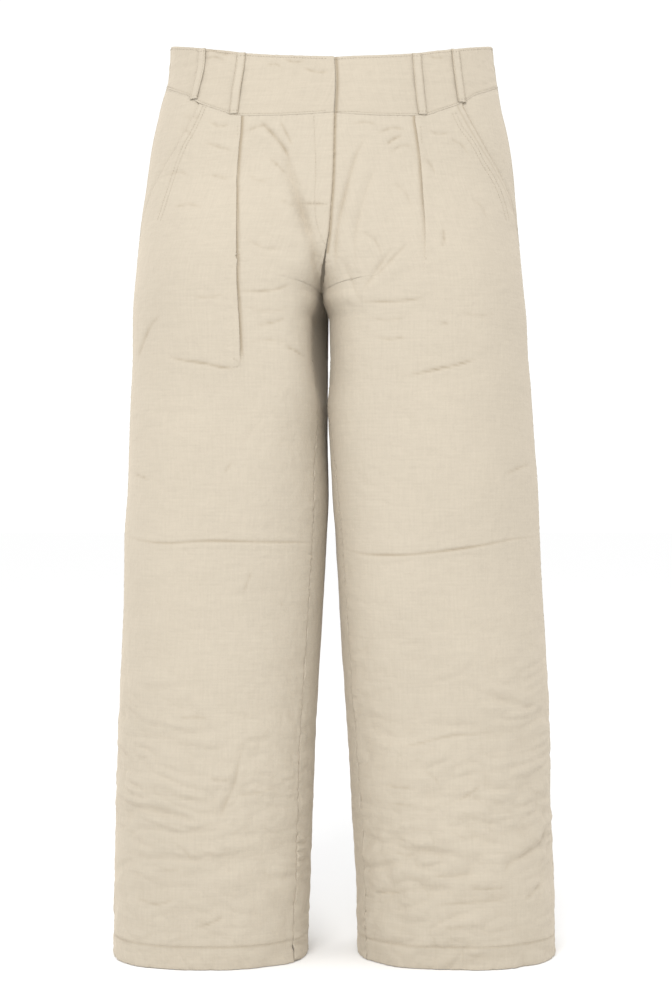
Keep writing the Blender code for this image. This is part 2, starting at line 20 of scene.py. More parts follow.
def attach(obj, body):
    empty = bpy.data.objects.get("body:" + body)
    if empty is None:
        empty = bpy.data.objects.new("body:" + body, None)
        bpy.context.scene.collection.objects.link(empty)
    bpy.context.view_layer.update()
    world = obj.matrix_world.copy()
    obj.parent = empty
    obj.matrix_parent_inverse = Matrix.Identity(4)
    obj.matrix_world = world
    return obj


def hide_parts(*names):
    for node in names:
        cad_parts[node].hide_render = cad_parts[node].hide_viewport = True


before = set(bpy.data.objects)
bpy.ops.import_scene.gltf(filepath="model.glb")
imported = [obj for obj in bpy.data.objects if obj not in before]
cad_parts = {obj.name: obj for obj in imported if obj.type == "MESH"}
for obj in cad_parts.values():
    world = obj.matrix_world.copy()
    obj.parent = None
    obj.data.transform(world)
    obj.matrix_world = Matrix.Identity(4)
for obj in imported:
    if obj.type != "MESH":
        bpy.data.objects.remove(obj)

log = logging.getLogger("trousers")

Array = np.ndarray
Numbers = Array | float
LevelOf = Callable[[Array], Array]  # the levels of a line at some turns
Pieces = dict[str, Object]  # pieces by name
Inputs = dict[str | int, object]  # what a node's inputs are given, by name or number

MM = 0.001
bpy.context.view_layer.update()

# ---------- the eye
EYE_DISTANCE = 2.05  # from the middle of the garment to the camera
EYE_LEVEL = -0.424  # level of the camera below the line where the waistband is held
EYE_SHIFT = 0.005  # the picture's middle lies this far to the garment's left
PICTURE_HEIGHT = 1.008  # metres that the picture spans at the middle of the garment
SENSOR = 36.0  # width of the camera's sensor, in millimetres


class Side(Enum):
    """A half of the garment, named as the wearer has it. The value is the sign of its X."""

    RIGHT = -1
    LEFT = 1

    @property
    def word(self) -> str:
        """The side's name in node names."""
        return self.name.lower()


class Face(Enum):
    """The face that a crease lies on. Its points are given as seen by a camera on that side, in
    millimetres to the garment's left and above the hold line."""

    FRONT = "front"
    BACK = "back"


# ---------- the form
ROUNDNESS = 2.3
CROTCH = -222 * MM
FORK_TOP = -95 * MM
FORK_POWER = 1.6
FORK_EASE = 0.55  # from this share on, the parting slows down to a soft end
HEM = -870 * MM
SIDE_SEAM_TURN = 10.0
INSEAM_TURN = {Side.RIGHT: 33.0, Side.LEFT: 25.0}
INSEAM_EASE = 200 * MM
FORK_LINE_BEND = 50.0
PLEAT_TURN = 75.0
MIDDLE_REACH = 60 * MM  # how far from the middle the lean and the parting of the legs carry
PARTING_DEPTH = 40 * MM  # they fade out from this far before the middle to as far behind it
SEAM_GAP = 0.1 * MM
POCKET_END = -175 * MM
POCKET_BAG_END = -290 * MM
POCKET_TRIES = 12  # steps in which a line finds the pocket's edge
FLY_END = -185 * MM
FLY_LAP, FLY_LAP_LEAST = 2.0, 0.6  # millimetres that the upper front's edge laps further left
FLY_DRAW = 30 * MM  # the cloth is drawn left from this far inside the edge
FLY_SHADE_AWAY, FLY_SHADE_WIDTH = 0.7 * MM, 1.6 * MM


@dataclass(frozen=True)
class Section:
    """Sizes of the form at one level, in millimetres.

    lean is how far the middle of the front leans to the left, and part is how far each leg draws
    back from it. corner_right and corner_left are the powers of the legs' inner front corners.
    """

    level: float
    right: float
    left: float
    gap_right: float
    gap_left: float
    front: float
    back: float
    lean: float = 0.0
    part: float = 0.0
    corner_right: float = 2.3
    corner_left: float = 2.3


# level, right, left, their gaps, front, back, lean, part and the corners' powers
SECTIONS = tuple(Section(*row) for row in (
    (-870, 216, 224, 24.0, 28.0, 88, 88),
    (-790, 215, 222, 21.0, 25.0, 88, 90),
    (-710, 214, 219, 18.0, 21.0, 89, 92),
    (-650, 212, 218, 15.5, 17.0, 90, 94, 0.0, 0.0, 2.3, 2.4),
    (-570, 209, 214, 11.0, 11.0, 92, 97, 0.5, 0.0, 2.3, 2.7),
    (-510, 207, 210, 7.5, 7.5, 93, 100, 0.8, 0.0, 2.3, 3.0),
    (-460, 206, 208, 4.6, 4.4, 95, 103, 0.8, 0.0, 2.3, 3.2),
    (-410, 203, 206, 1.4, 1.4, 97, 107, -1.2, 0.0, 2.4, 3.3),
    (-365, 202, 203, 1.0, 1.0, 99, 112, -4.5, 0.0, 2.6, 3.4),
    (-330, 201, 201, 1.0, 1.0, 100, 114, -6.8, 0.6, 3.4, 3.5),
    (-305, 200, 200, 1.0, 1.0, 101, 117, -8.4, 4.5, 4.6, 3.6),
    (-275, 199, 198, 1.0, 1.0, 103, 121, -9.6, 6.6, 5.0, 3.6),
    (-245, 199, 197, 1.0, 1.0, 105, 124, -10.2, 6.6, 5.0, 3.6),
    (-222, 198, 195, 1.0, 1.0, 107, 127, -9.8, 0.0, 4.2, 4.2),
    (-200, 196, 193, 0.65, 0.65, 108, 129, -7.0, 0.0, 3.7, 3.7),
    (-150, 191, 188, 0.65, 0.65, 108, 127, -1.0, 0.0, 2.4, 2.4),
    (-110, 185, 184, 0.65, 0.65, 106, 123),
    (-70, 179, 179, 0.65, 0.65, 103, 115),
    (-30, 170, 170, 0.65, 0.65, 98, 106),
    (0, 162, 165, 0.65, 0.65, 95, 101),
    (40, 159, 160, 0.65, 0.65, 91, 96),
))


@dataclass(frozen=True)
class WaistLine:
    """The waistband's top edge and seam, in millimetres, at a turn from the side seam's line."""

    turn: float
    top: float
    seam: float


WAIST_LINES = (
    WaistLine(-90, 36, -14),
    WaistLine(-45, 34, -13),
    WaistLine(0, 31, -11),
    WaistLine(35, 20, -26),
    WaistLine(45, 16, -37),
    WaistLine(55, 12, -46),
    WaistLine(64, 8, -53),
    WaistLine(76, 5, -54),
    WaistLine(90, 3, -52),
)


@dataclass(frozen=True)
class PocketEdge:
    """The slanted pocket opening: degrees from the side at a level in millimetres."""

    level: float
    turn: float


POCKET_EDGE = (
    PocketEdge(-175, SIDE_SEAM_TURN),
    PocketEdge(-145, 15),
    PocketEdge(-120, 21),
    PocketEdge(-100, 28),
    PocketEdge(-80, 35.5),
    PocketEdge(-60, 41),
    PocketEdge(-40, 45),
)


@dataclass(frozen=True)
class Pleat:
    """A pleat at one level, in millimetres and degrees of turn."""

    level: float
    reach: float
    depth: float
    fold: float
    height: float


PLEATS = {
    Side.RIGHT: (
        Pleat(-304, 87, 0.0, 15, 0.2),
        Pleat(-291, 87, 0.0, 50, 1.0),
        Pleat(-277, 87, 0.5, 165, 1.7),
        Pleat(-200, 90, 4.0, 180, 2.2),
        Pleat(-120, 90, 9.0, 180, 2.4),
        Pleat(-60, 86, 13.0, 180, 2.4),
    ),
    Side.LEFT: (
        Pleat(-205, 90, 0.0, 15, 0.2),
        Pleat(-185, 90, 0.0, 50, 1.0),
        Pleat(-160, 90, 0.5, 165, 1.6),
        Pleat(-130, 88, 5.0, 180, 2.1),
        Pleat(-95, 86, 9.0, 180, 2.2),
        Pleat(-60, 81, 13.0, 180, 2.2),
    ),
}


@dataclass(frozen=True)
class FlyEdge:
    """Where the upper front's edge runs, in millimetres from the middle."""

    level: float
    reach: float


FLY_EDGE = (
    FlyEdge(-185, -3.0),
    FlyEdge(-150, -1.5),
    FlyEdge(-100, 0.5),
    FlyEdge(-55, 1.5),
    FlyEdge(-20, 3.0),
    FlyEdge(20, 0.5),
)


@dataclass(frozen=True)
class Crease:
    """A soft trough (depth above 0) or ridge (below 0) along a line.

    Sizes are in millimetres. ridge is the height of the swell on the lower or outer side, as a
    share of the depth.
    """

    points: tuple[tuple[float, float], ...]
    depth: float
    width: float
    ridge: float = 0.24


def creases(*rows: tuple) -> tuple[Crease, ...]:
    """Creases from rows of points, depth, width and, where it isn't the usual one, ridge."""
    return tuple(Crease(*row) for row in rows)


FRONT_CREASES = creases(
    # the crinkles along the waistband's top edge
    (((-131, 26), (-119, 30), (-108, 26), (-96, 27)), 0.9, 1.7, 0.3),
    (((-127, 21), (-115, 23), (-105, 19)), 0.7, 1.6),
    (((-47, 21), (-36, 18), (-25, 20)), 0.8, 1.6),
    (((-29, 13), (-16, 8), (-4, 9)), 0.8, 1.7),
    (((-66, 14), (-56, 16), (-47, 12)), 0.6, 1.6),
    (((96, 25), (106, 22), (116, 24)), 0.6, 1.5),
    # right front, from the waist to the pocket's end
    (((-72, -40), (-56, -56), (-44, -73), (-41, -88)), 2.88, 3.4, 0.48),
    (((-51, -40), (-42, -58), (-38, -66)), 1.18, 2.4),
    (((-62, -78), (-52, -86), (-44, -94)), 1.31, 2.6),
    (((-50, -70), (-41, -92), (-33, -118), (-24, -146), (-15, -174), (-11, -200),
      (-10, -216)), 8.5, 8.0, 0.3),
    (((-94, -211), (-70, -211), (-50, -208), (-37, -202)), 1.18, 2.2),
    (((-143, -216), (-122, -217), (-106, -215)), 0.78, 2.2),
    (((-75, -245), (-60, -243), (-42, -237)), 1.31, 2.8),
    (((-46, -266), (-36, -270), (-24, -278)), 1.57, 2.8),
    (((-126, -62), (-108, -68), (-98, -70)), 0.92, 2.2),
    (((-168, -96), (-150, -92), (-140, -97)), 0.78, 2.4),
    (((-122, -94), (-110, -97), (-100, -98)), 0.78, 2),
    (((-160, -128), (-140, -124), (-128, -128)), 0.78, 2.4),
    (((-28, -123), (-16, -123), (-5, -124)), 0.78, 1.6, 0.2),
    (((-163, -277), (-143, -281), (-127, -283), (-110, -287), (-93, -289)), 1.57, 1.9, 0.36),
    (((-170, -233), (-181, -247), (-187, -261), (-193, -280)), 1.31, 2),
    (((-150, -33), (-138, -37), (-128, -37)), 0.8, 2.2, 0.3),
    (((-124, -40), (-112, -46), (-100, -44)), 0.9, 2.4, 0.3),
    (((-160, -44), (-146, -50), (-134, -60)), 0.7, 2.6, 0.3),
    (((-86, -52), (-72, -46), (-60, -44)), 1.0, 2.4, 0.3),
    (((-84, -96), (-70, -100), (-58, -99)), 0.8, 2.4, 0.3),
    (((-52, -120), (-40, -124), (-28, -123)), 0.7, 2.2, 0.2),
    (((-86, -158), (-66, -168), (-48, -168)), 0.6, 2.8, 0.3),
    (((-88, -226), (-68, -231), (-40, -228)), 0.6, 2.4, 0.3),
    (((-82, -262), (-62, -260), (-40, -262)), 0.6, 2.6, 0.3),
    # left front, from the waist to the pocket's end
    (((20, -44), (34, -42), (48, -45)), 0.7, 2.2, 0.3),
    (((46, -54), (60, -48), (76, -50)), 0.9, 2.2, 0.3),
    (((58, -74), (70, -66), (84, -66)), 0.8, 2.4, 0.3),
    (((96, -50), (108, -54), (120, -52)), 0.7, 2.2, 0.3),
    (((60, -100), (74, -112), (82, -128)), 0.7, 3.0, 0.3),
    (((30, -150), (44, -160), (52, -176)), 0.9, 3.2, 0.3),
    (((34, -236), (58, -240), (80, -236)), 0.6, 2.4, 0.3),
    (((130, -232), (150, -236), (166, -232)), 0.6, 2.6, 0.3),
    (((5, -196), (4, -176), (7, -146), (14, -115), (20, -92), (26, -73), (36, -55)), 2.88, 4, 0.48),
    (((26, -196), (24, -165), (30, -128), (40, -98), (52, -74)), 1.44, 5, 0.48),
    (((55, -65), (63, -59), (72, -55)), 1.44, 2.2),
    (((94, -78), (100, -85), (104, -94)), 0.92, 2),
    (((112, -148), (113, -158), (112, -168)), 1.18, 2),
    (((29, -213), (44, -192), (62, -167)), 2.09, 4.4, 0.48),
    (((43, -198), (60, -180), (78, -162)), 1.44, 3.4, 0.42),
    (((27, -222), (66, -221), (84, -219), (99, -215)), 1.18, 2.2),
    (((45, -258), (60, -259), (76, -257)), 1.05, 2.2),
    (((109, -244), (118, -243)), 0.92, 1.8),
    (((76, -296), (106, -289), (129, -284), (149, -277)), 1.57, 1.9, 0.36),
    (((118, -58), (132, -66), (138, -76)), 0.78, 2.4),
    (((140, -118), (152, -128), (156, -140)), 0.78, 3),
    (((12, -180), (20, -200), (30, -225)), 1.57, 4.5),
    # the fold across both knees, where the trousers lay folded
    (((-208, -456), (-187, -461), (-169, -463), (-131, -461), (-60, -462),
      (-8, -462)), 1.26, 1.6, 0.54),
    (((4, -464), (20, -471), (61, -475), (112, -471), (152, -465), (183, -459),
      (211, -456)), 1.26, 1.6, 0.54),
    (((-99, -442), (-75, -441), (-52, -442)), -0.8, 7, 0),
    (((40, -463), (70, -464), (101, -463)), -0.7, 6, 0),
    # thighs and knees
    (((-197, -394), (-182, -400)), 1.05, 2.2),
    (((-99, -382), (-107, -394)), 0.65, 2),
    (((-78, -490), (-84, -504), (-88, -516)), 0.78, 2.2),
    (((-47, -522), (-49, -526)), 0.78, 2.4),
    (((175, -394), (188, -388), (199, -384)), 1.18, 2.2),
    (((113, -473), (117, -515), (120, -555), (124, -586)), -0.4, 2.2, 0),
    (((-60, -330), (-80, -352), (-96, -380)), 0.65, 6),
    (((60, -320), (84, -345), (92, -372)), 0.65, 6),
    # right shin
    (((-152, -638), (-136, -637), (-122, -639)), 0.74, 2),
    (((-87, -663), (-93, -685), (-97, -705), (-105, -723), (-114, -746)), 1.57, 3.4, 0.54),
    (((-95, -715), (-74, -713), (-53, -707)), 0.94, 2.4),
    (((-122, -699), (-108, -700), (-95, -698)), 0.74, 2.2),
    (((-195, -818), (-176, -824), (-154, -819)), 1.15, 2.6),
    (((-138, -849), (-122, -844), (-106, -836)), 1.15, 2.6),
    (((-160, -760), (-146, -770), (-138, -784)), 0.84, 3.4),
    (((-176, -784), (-160, -790), (-148, -788)), 0.74, 2.8),
    (((-70, -745), (-58, -752), (-46, -750)), 0.74, 3),
    # left shin
    (((68, -667), (90, -663), (118, -656), (145, -654), (165, -652)), 0.94, 2.2),
    (((52, -705), (68, -707), (84, -708)), 0.94, 2.2),
    (((58, -723), (72, -725), (86, -726)), 0.84, 2.2),
    (((127, -721), (139, -714), (151, -705)), 1.05, 2.6),
    (((219, -744), (207, -766), (193, -776), (176, -787), (174, -799)), 2.88, 4.6, 1.08),
    (((98, -795), (120, -796), (143, -794)), 0.94, 2.4),
    (((137, -808), (158, -809), (177, -807)), 0.94, 2.4),
    (((42, -812), (60, -813), (78, -811)), 0.94, 2.4),
    (((100, -825), (140, -823), (181, -819)), 1.05, 2.6),
    (((191, -823), (202, -812), (214, -800)), 1.36, 3),
    (((110, -847), (124, -848), (137, -846)), 0.94, 2.4),
    (((120, -750), (134, -758), (150, -756)), 0.84, 3.2),
    (((60, -770), (76, -776), (90, -772)), 0.84, 3),
    (((92, -690), (104, -698), (110, -712)), 0.74, 3),
)
BACK_CREASES = creases(
    # the fold across the knees, the seat and the legs
    (((-210, -458), (-170, -462), (-110, -460), (-50, -463), (-6, -462)), 1.7, 1.8, 0.54),
    (((6, -465), (50, -470), (110, -468), (165, -461), (212, -457)), 1.26, 1.6, 0.54),
    (((-22, -214), (-52, -232), (-86, -244), (-122, -246)), 2.88, 6, 0.72),
    (((22, -216), (56, -236), (92, -245), (126, -242)), 2.62, 6, 0.72),
    (((-18, -236), (-44, -258), (-76, -270)), 1.83, 4),
    (((16, -240), (48, -262), (84, -268)), 1.83, 4),
    (((-14, -150), (-30, -172), (-38, -196)), 1.31, 5),
    (((12, -140), (26, -166), (36, -190)), 1.31, 5),
    (((-60, -24), (-66, -48), (-62, -72)), 1.05, 4),
    (((58, -26), (62, -44), (60, -66)), 1.05, 4),
    (((-150, -60), (-128, -70), (-104, -68)), 0.78, 3),
    (((112, -96), (138, -104), (158, -100)), 0.78, 3),
    (((-160, -330), (-130, -342), (-104, -340)), 0.92, 3.4),
    (((70, -350), (98, -356), (128, -350)), 0.92, 3.4),
    (((-70, -400), (-96, -420), (-112, -446)), 1.44, 4.6),
    (((72, -398), (100, -424), (118, -448)), 1.44, 4.6),
    (((-180, -498), (-150, -506), (-120, -500)), 1.18, 3.4),
    (((60, -506), (90, -516), (124, -512)), 1.18, 3.4),
    (((-130, -560), (-96, -574), (-70, -572)), 0.92, 3),
    (((112, -600), (150, -606), (176, -598)), 0.92, 3),
    (((-188, -652), (-150, -660), (-112, -656)), 1.18, 2.6),
    (((52, -664), (96, -668), (130, -660)), 1.18, 2.6),
    (((-96, -690), (-112, -716), (-136, -744)), 1.96, 3.8, 0.54),
    (((88, -700), (108, -728), (116, -752)), 1.83, 3.8, 0.54),
    (((-200, -764), (-168, -778), (-142, -776)), 1.44, 3),
    (((148, -760), (174, -772), (206, -768)), 1.44, 3),
    (((-86, -790), (-62, -800), (-44, -796)), 1.18, 3),
    (((50, -786), (78, -798), (98, -794)), 1.18, 3),
    (((-176, -818), (-140, -826), (-112, -820)), 1.31, 2.6),
    (((120, -816), (150, -828), (186, -822)), 1.31, 2.6),
    (((-90, -846), (-68, -850), (-50, -845)), 1.18, 2.6),
    (((62, -844), (90, -850), (104, -846)), 1.18, 2.6),
)
CREASES = {Face.FRONT: FRONT_CREASES, Face.BACK: BACK_CREASES}


@dataclass(frozen=True)
class Crumple:
    """Uneven small wrinkles all over the cloth: their size round and down it, slant and height.

    Sizes and heights are in millimetres. calm is the share of the height that is left above the
    knees, where the cloth is smoother than towards the hems. line is how dark the shade painted
    in the bottoms is.
    """

    round: float
    down: float
    slant: float
    height: float
    calm: float
    line: float
    seed: int


PAINTED_SHADE_WIDTH = 1.3  # millimetres, of the line of painted shade at the bottom of a crease
CREASE_MARGIN = 5  # a crease has faded out this many of its widths from its line
SWELL_AWAY, SWELL_WIDTH = 2.4, 2.0  # place and size of the swell beside it, in its widths
GRAIN_PRIMES = (73856093, 19349663, 83492791)
GRAIN_VALUES = 8192
CRUMPLES = (
    Crumple(60, 18, 0.12, 5.2, 0.15, 0.06, 1),
    Crumple(30, 10, -0.22, 3.9, 0.15, 0.10, 2),
    Crumple(20, 30, 0.30, 2.0, 0.30, 0.05, 3),
    Crumple(13, 7, 0.10, 1.5, 0.36, 0.0, 4),
)
WAVES = ((150.0, 1.3), (62.0, 0.8), (28.0, 0.25))  # sizes and heights, in millimetres


# ---------- small sums
def smooth_lookup(rows: Sequence, key: str, column: str, where: Numbers) -> Array:
    """Read one column of a table at any place, along a curve that never overshoots its rows.

    Args:
        rows: The table, as dataclasses.
        key: The column that holds the places.
        column: The column to read.
        where: The places to read it at.

    Returns:
        The column's values there.
    """
    ordered = sorted(rows, key=lambda row: getattr(row, key))
    places = np.array([getattr(row, key) for row in ordered], dtype=float)
    values = np.array([getattr(row, column) for row in ordered], dtype=float)
    steps = np.diff(places)
    rises = np.diff(values) / steps
    slopes = np.zeros(len(places))
    same_way = rises[:-1] * rises[1:] > 0
    total = np.where(same_way, rises[:-1] + rises[1:], 1.0)
    slopes[1:-1] = np.where(same_way, 2 * rises[:-1] * rises[1:] / total, 0.0)
    slopes[0], slopes[-1] = rises[0], rises[-1]
    where = np.clip(np.asarray(where, dtype=float), places[0], places[-1])
    index = np.clip(np.searchsorted(places, where, side="right") - 1, 0, len(steps) - 1)
    return curve_between(places, values, slopes, index, where)


def curve_between(places: Array, values: Array, slopes: Array, index: Array,
                  where: Array) -> Array:
    """Read a curve that goes through values with given slopes.

    Args:
        places: Where its values are given.
        values: One number, or one point, for each.
        slopes: The curve's slopes there.
        index: For each place to read, the number of the last given place before it.
        where: The places to read.

    Returns:
        A value for each place to read.
    """
    step = places[index + 1] - places[index]
    share = (where - places[index]) / step
    if values.ndim > 1:
        step, share = step[..., None], share[..., None]
    blend = share * share * (3 - 2 * share)
    lead = share * (1 - share) ** 2 * step * slopes[index]
    trail = share * share * (share - 1) * step * slopes[index + 1]
    return values[index] * (1 - blend) + values[index + 1] * blend + lead + trail


def ease(share: Numbers) -> Array:
    """A smooth step from 0 to 1."""
    share = np.clip(share, 0.0, 1.0)
    return share * share * (3 - 2 * share)


def bell(away: Array, width: float) -> Array:
    """A soft bump of height 1, which has fallen to a third at its width."""
    return np.exp(-(away / width) ** 2)


def section(level: Numbers, column: str) -> Array:
    """One size of the form at a level, in metres."""
    return smooth_lookup(SECTIONS, "level", column, np.asarray(level) / MM) * MM


def waist_line(turn: Numbers, column: str) -> Array:
    """The height of the waistband's top or seam at a turn, in metres."""
    return smooth_lookup(WAIST_LINES, "turn", column, np.clip(turn, -90, 90)) * MM


def fork_share(level: Numbers) -> Array:
    """How far the two rounds have parted: 0 above the fork, 1 at the crotch and below."""
    even = np.clip((FORK_TOP - np.asarray(level)) / (FORK_TOP - CROTCH), 0.0, 1.0)
    late = np.clip((even - FORK_EASE) / (1 - FORK_EASE), 0.0, 1.0)
    eased = FORK_EASE + (1 - FORK_EASE) * (ease(late) + late * (1 - late) ** 2)
    return np.where(even > FORK_EASE, eased, even)


def ring_sizes(side: Side, level: Numbers) -> tuple[Array, Array, Array]:
    """One side's ring at a level.

    Args:
        side: The half of the garment.
        level: Heights, in metres.

    Returns:
        The centre and the half-widths outside and inside it, in metres.
    """
    outer = section(level, side.word)
    gap = section(level, "gap_" + side.word)
    share = fork_share(level)
    spread = 1 + FORK_POWER * share * (1 - share)
    outside = (outer - gap) / (1 + share ** FORK_POWER * spread)
    return outer - outside, outside, outside * spread


def corner_power(side: Side, level: Numbers) -> Array:
    """How square the inner front corner of a leg is at a level."""
    return section(level, "corner_" + side.word) / MM


def form(side: Side, turn: Array, level: Numbers) -> Array:
    """Points of the form.

    Args:
        side: The half of the garment.
        turn: Degrees round the half: 0 outside, 90 front, 180 inside leg, -90 back.
        level: Height of each point, in metres.

    Returns:
        An array of points.
    """
    level = np.broadcast_to(np.asarray(level, dtype=float), np.shape(turn))
    centre, outside, inside = ring_sizes(side, level)
    front = section(level, "front")
    back = section(level, "back")
    cosine = np.cos(np.radians(turn))
    sine = np.sin(np.radians(turn))
    power = 2 / np.where((cosine < 0) & (sine > 0), corner_power(side, level), ROUNDNESS)
    across = np.sign(cosine) * np.abs(cosine) ** power
    ahead = np.sign(sine) * np.abs(sine) ** power
    x = side.value * (centre + np.where(across > 0, outside, inside) * across)
    y = (back - front) / 2 - (back + front) / 2 * ahead
    near = np.exp(-(x / MIDDLE_REACH) ** 2) * ease((PARTING_DEPTH - y) / (2 * PARTING_DEPTH))
    x = x + near * (section(level, "lean") + side.value * section(level, "part"))
    return np.stack([x, y, level], axis=-1)


def outward(side: Side, turn: Array, level: Array) -> Array:
    """Directions straight out of the form.

    Args:
        side: The half of the garment.
        turn: Degrees round it.
        level: Height of each point.

    Returns:
        A direction of length 1 for each point.
    """
    turn_step, level_step = 0.5, 1.0 * MM       # to either side of the point
    along = form(side, turn + turn_step, level) - form(side, turn - turn_step, level)
    up = form(side, turn, level + level_step) - form(side, turn, level - level_step)
    across = -side.value * np.cross(along, up)
    return across / np.linalg.norm(across, axis=-1, keepdims=True)


def level_sideways(away: Array) -> Array:
    """Level directions along the cloth, square to directions out of it."""
    across = np.cross(away, (0.0, 0.0, 1.0))
    return across / np.linalg.norm(across, axis=1, keepdims=True)


def middle_turn(side: Side, level: float, behind: bool = False) -> float:
    """Degrees from the side to where a ring above the crotch meets the middle seam.

    Args:
        side: The half of the garment.
        level: The height, in metres.
        behind: True for the back.

    Returns:
        The turn there.
    """
    centre, _, inside = ring_sizes(side, level)
    reach = SEAM_GAP / 2 + 0.3 * MM * float(fork_share(level))
    share = np.clip((centre - reach) / inside, 0.0, 1.0)
    power = ROUNDNESS if behind else float(corner_power(side, level))
    return float(90 + np.degrees(np.arcsin(share ** (power / 2))))


def inseam_turn(side: Side, level: float) -> float:
    """Degrees that the inseam sits in front of the innermost line."""
    return float(INSEAM_TURN[side] * ease((CROTCH - level) / INSEAM_EASE))


def seen_from(points: Array, behind: bool) -> Array:
    """Where points are seen, in millimetres at the middle of the garment.

    Args:
        points: Points in the garment's frame.
        behind: True from the back, at the same distance and height.

    Returns:
        An array of (to the garment's left of the middle, above the hold line).
    """
    depth = -points[..., 1] if behind else points[..., 1]
    nearness = EYE_DISTANCE / (EYE_DISTANCE + depth)
    x = points[..., 0] * nearness / MM
    z = (EYE_LEVEL + (points[..., 2] - EYE_LEVEL) * nearness) / MM
    return np.stack([x, z], axis=-1)


def smooth_path(corners: Sequence[tuple[float, float]], steps: Callable[[float], int]
                ) -> tuple[Array, Array]:
    """Even points along a smooth curve through a path's points.

    Args:
        corners: The path's points.
        steps: How many steps a path of a length has.

    Returns:
        The points, and how far along the path each of them lies.
    """
    knots = np.array(corners, dtype=float)
    spans = np.concatenate([[0.0], np.cumsum(np.linalg.norm(np.diff(knots, axis=0), axis=1))])
    fine = np.linspace(0, spans[-1], steps(spans[-1]) + 1)
    slopes = np.gradient(knots, spans, axis=0)
    index = np.clip(np.searchsorted(spans, fine, side="right") - 1, 0, len(knots) - 2)
    return curve_between(spans, knots, slopes, index, fine), fine


def line_distance(places: Array, corners: Sequence[tuple[float, float]]
                  ) -> tuple[Array, Array, Array]:
    """Distance of places to a smooth line through its points.

    Args:
        places: The places, in the line's own two coordinates.
        corners: The line's points.

    Returns:
        Signed distances (above 0 on the left of the line), distances, and shares of the length.
    """
    pieces = 4 * (len(corners) - 1) if len(corners) > 2 else 1
    knots, spans = smooth_path(corners, lambda _: pieces)
    nearest = np.full(places.shape[:-1], np.inf)
    signed = np.zeros(places.shape[:-1])
    along = np.zeros(places.shape[:-1])
    for index in range(len(knots) - 1):
        run = knots[index + 1] - knots[index]
        offset = places - knots[index]
        share = np.clip(offset @ run / (run @ run), 0.0, 1.0)
        away = offset - share[..., None] * run
        distance = np.hypot(away[..., 0], away[..., 1])
        closer = distance < nearest
        cross = run[0] * away[..., 1] - run[1] * away[..., 0]
        nearest = np.where(closer, distance, nearest)
        signed = np.where(closer, np.sign(cross) * distance, signed)
        along = np.where(closer, spans[index] + share * (spans[index + 1] - spans[index]), along)
    return signed, nearest, along / spans[-1]


def crease_shape(crease: Crease, places: Array) -> tuple[Array, Array]:
    """One crease at places given in its own coordinates.

    Args:
        crease: The crease.
        places: Where to read it.

    Returns:
        Its rise in metres, and the painted shade along its sharp bottom, from 0 to 1.
    """
    knots = np.array(crease.points)
    margin = crease.width * CREASE_MARGIN
    low, high = knots.min(axis=0) - margin, knots.max(axis=0) + margin
    near = np.all((places > low) & (places < high), axis=-1)
    rise, line = np.zeros(places.shape[:-1]), np.zeros(places.shape[:-1])
    if not near.any():
        return rise, line
    signed, distance, share = line_distance(places[near], crease.points)
    uneven = 0.8 + 0.2 * np.sin(share * 17.0 + knots[0, 0])
    fade = ease(np.minimum(share, 1 - share) * 3.0 + 0.1) * uneven
    reach = distance / crease.width
    trough = -crease.depth * (0.5 * np.exp(-reach ** 2) + 0.5 * np.exp(-(reach / 0.5) ** 2))
    swell_place = (signed + crease.width * SWELL_AWAY) / (crease.width * SWELL_WIDTH)
    swell = crease.ridge * crease.depth * np.exp(-swell_place ** 2)
    rise[near] = (trough + swell) * fade * MM
    # painted shade along the bottom of a trough
    if crease.depth > 0:
        sharp = min(crease.depth / crease.width, 1.0) * min(PAINTED_SHADE_WIDTH * 2 / crease.width, 1.0)
        line[near] = np.exp(-(distance / PAINTED_SHADE_WIDTH) ** 2) * fade * sharp
    return rise, line


def grain(places: Array, seed: int) -> Array:
    """Smooth random values between -1 and 1.

    Args:
        places: Places in two or three coordinates, measured in grains.
        seed: Fixes the values.

    Returns:
        A value for each place.
    """
    values = np.random.default_rng(seed).uniform(-1, 1, GRAIN_VALUES)
    cell = np.floor(places).astype(int)
    share = ease(places - cell)
    total = np.zeros(places.shape[:-1])
    for corner in np.ndindex(*(2,) * places.shape[-1]):
        step = np.array(corner)
        mixed = ((cell + step) * np.array(GRAIN_PRIMES[:len(corner)])).sum(axis=-1)
        weight = np.prod(np.where(step, share, 1 - share), axis=-1)
        total += values[(mixed ^ (mixed >> 7)) & (GRAIN_VALUES - 1)] * weight
    return total


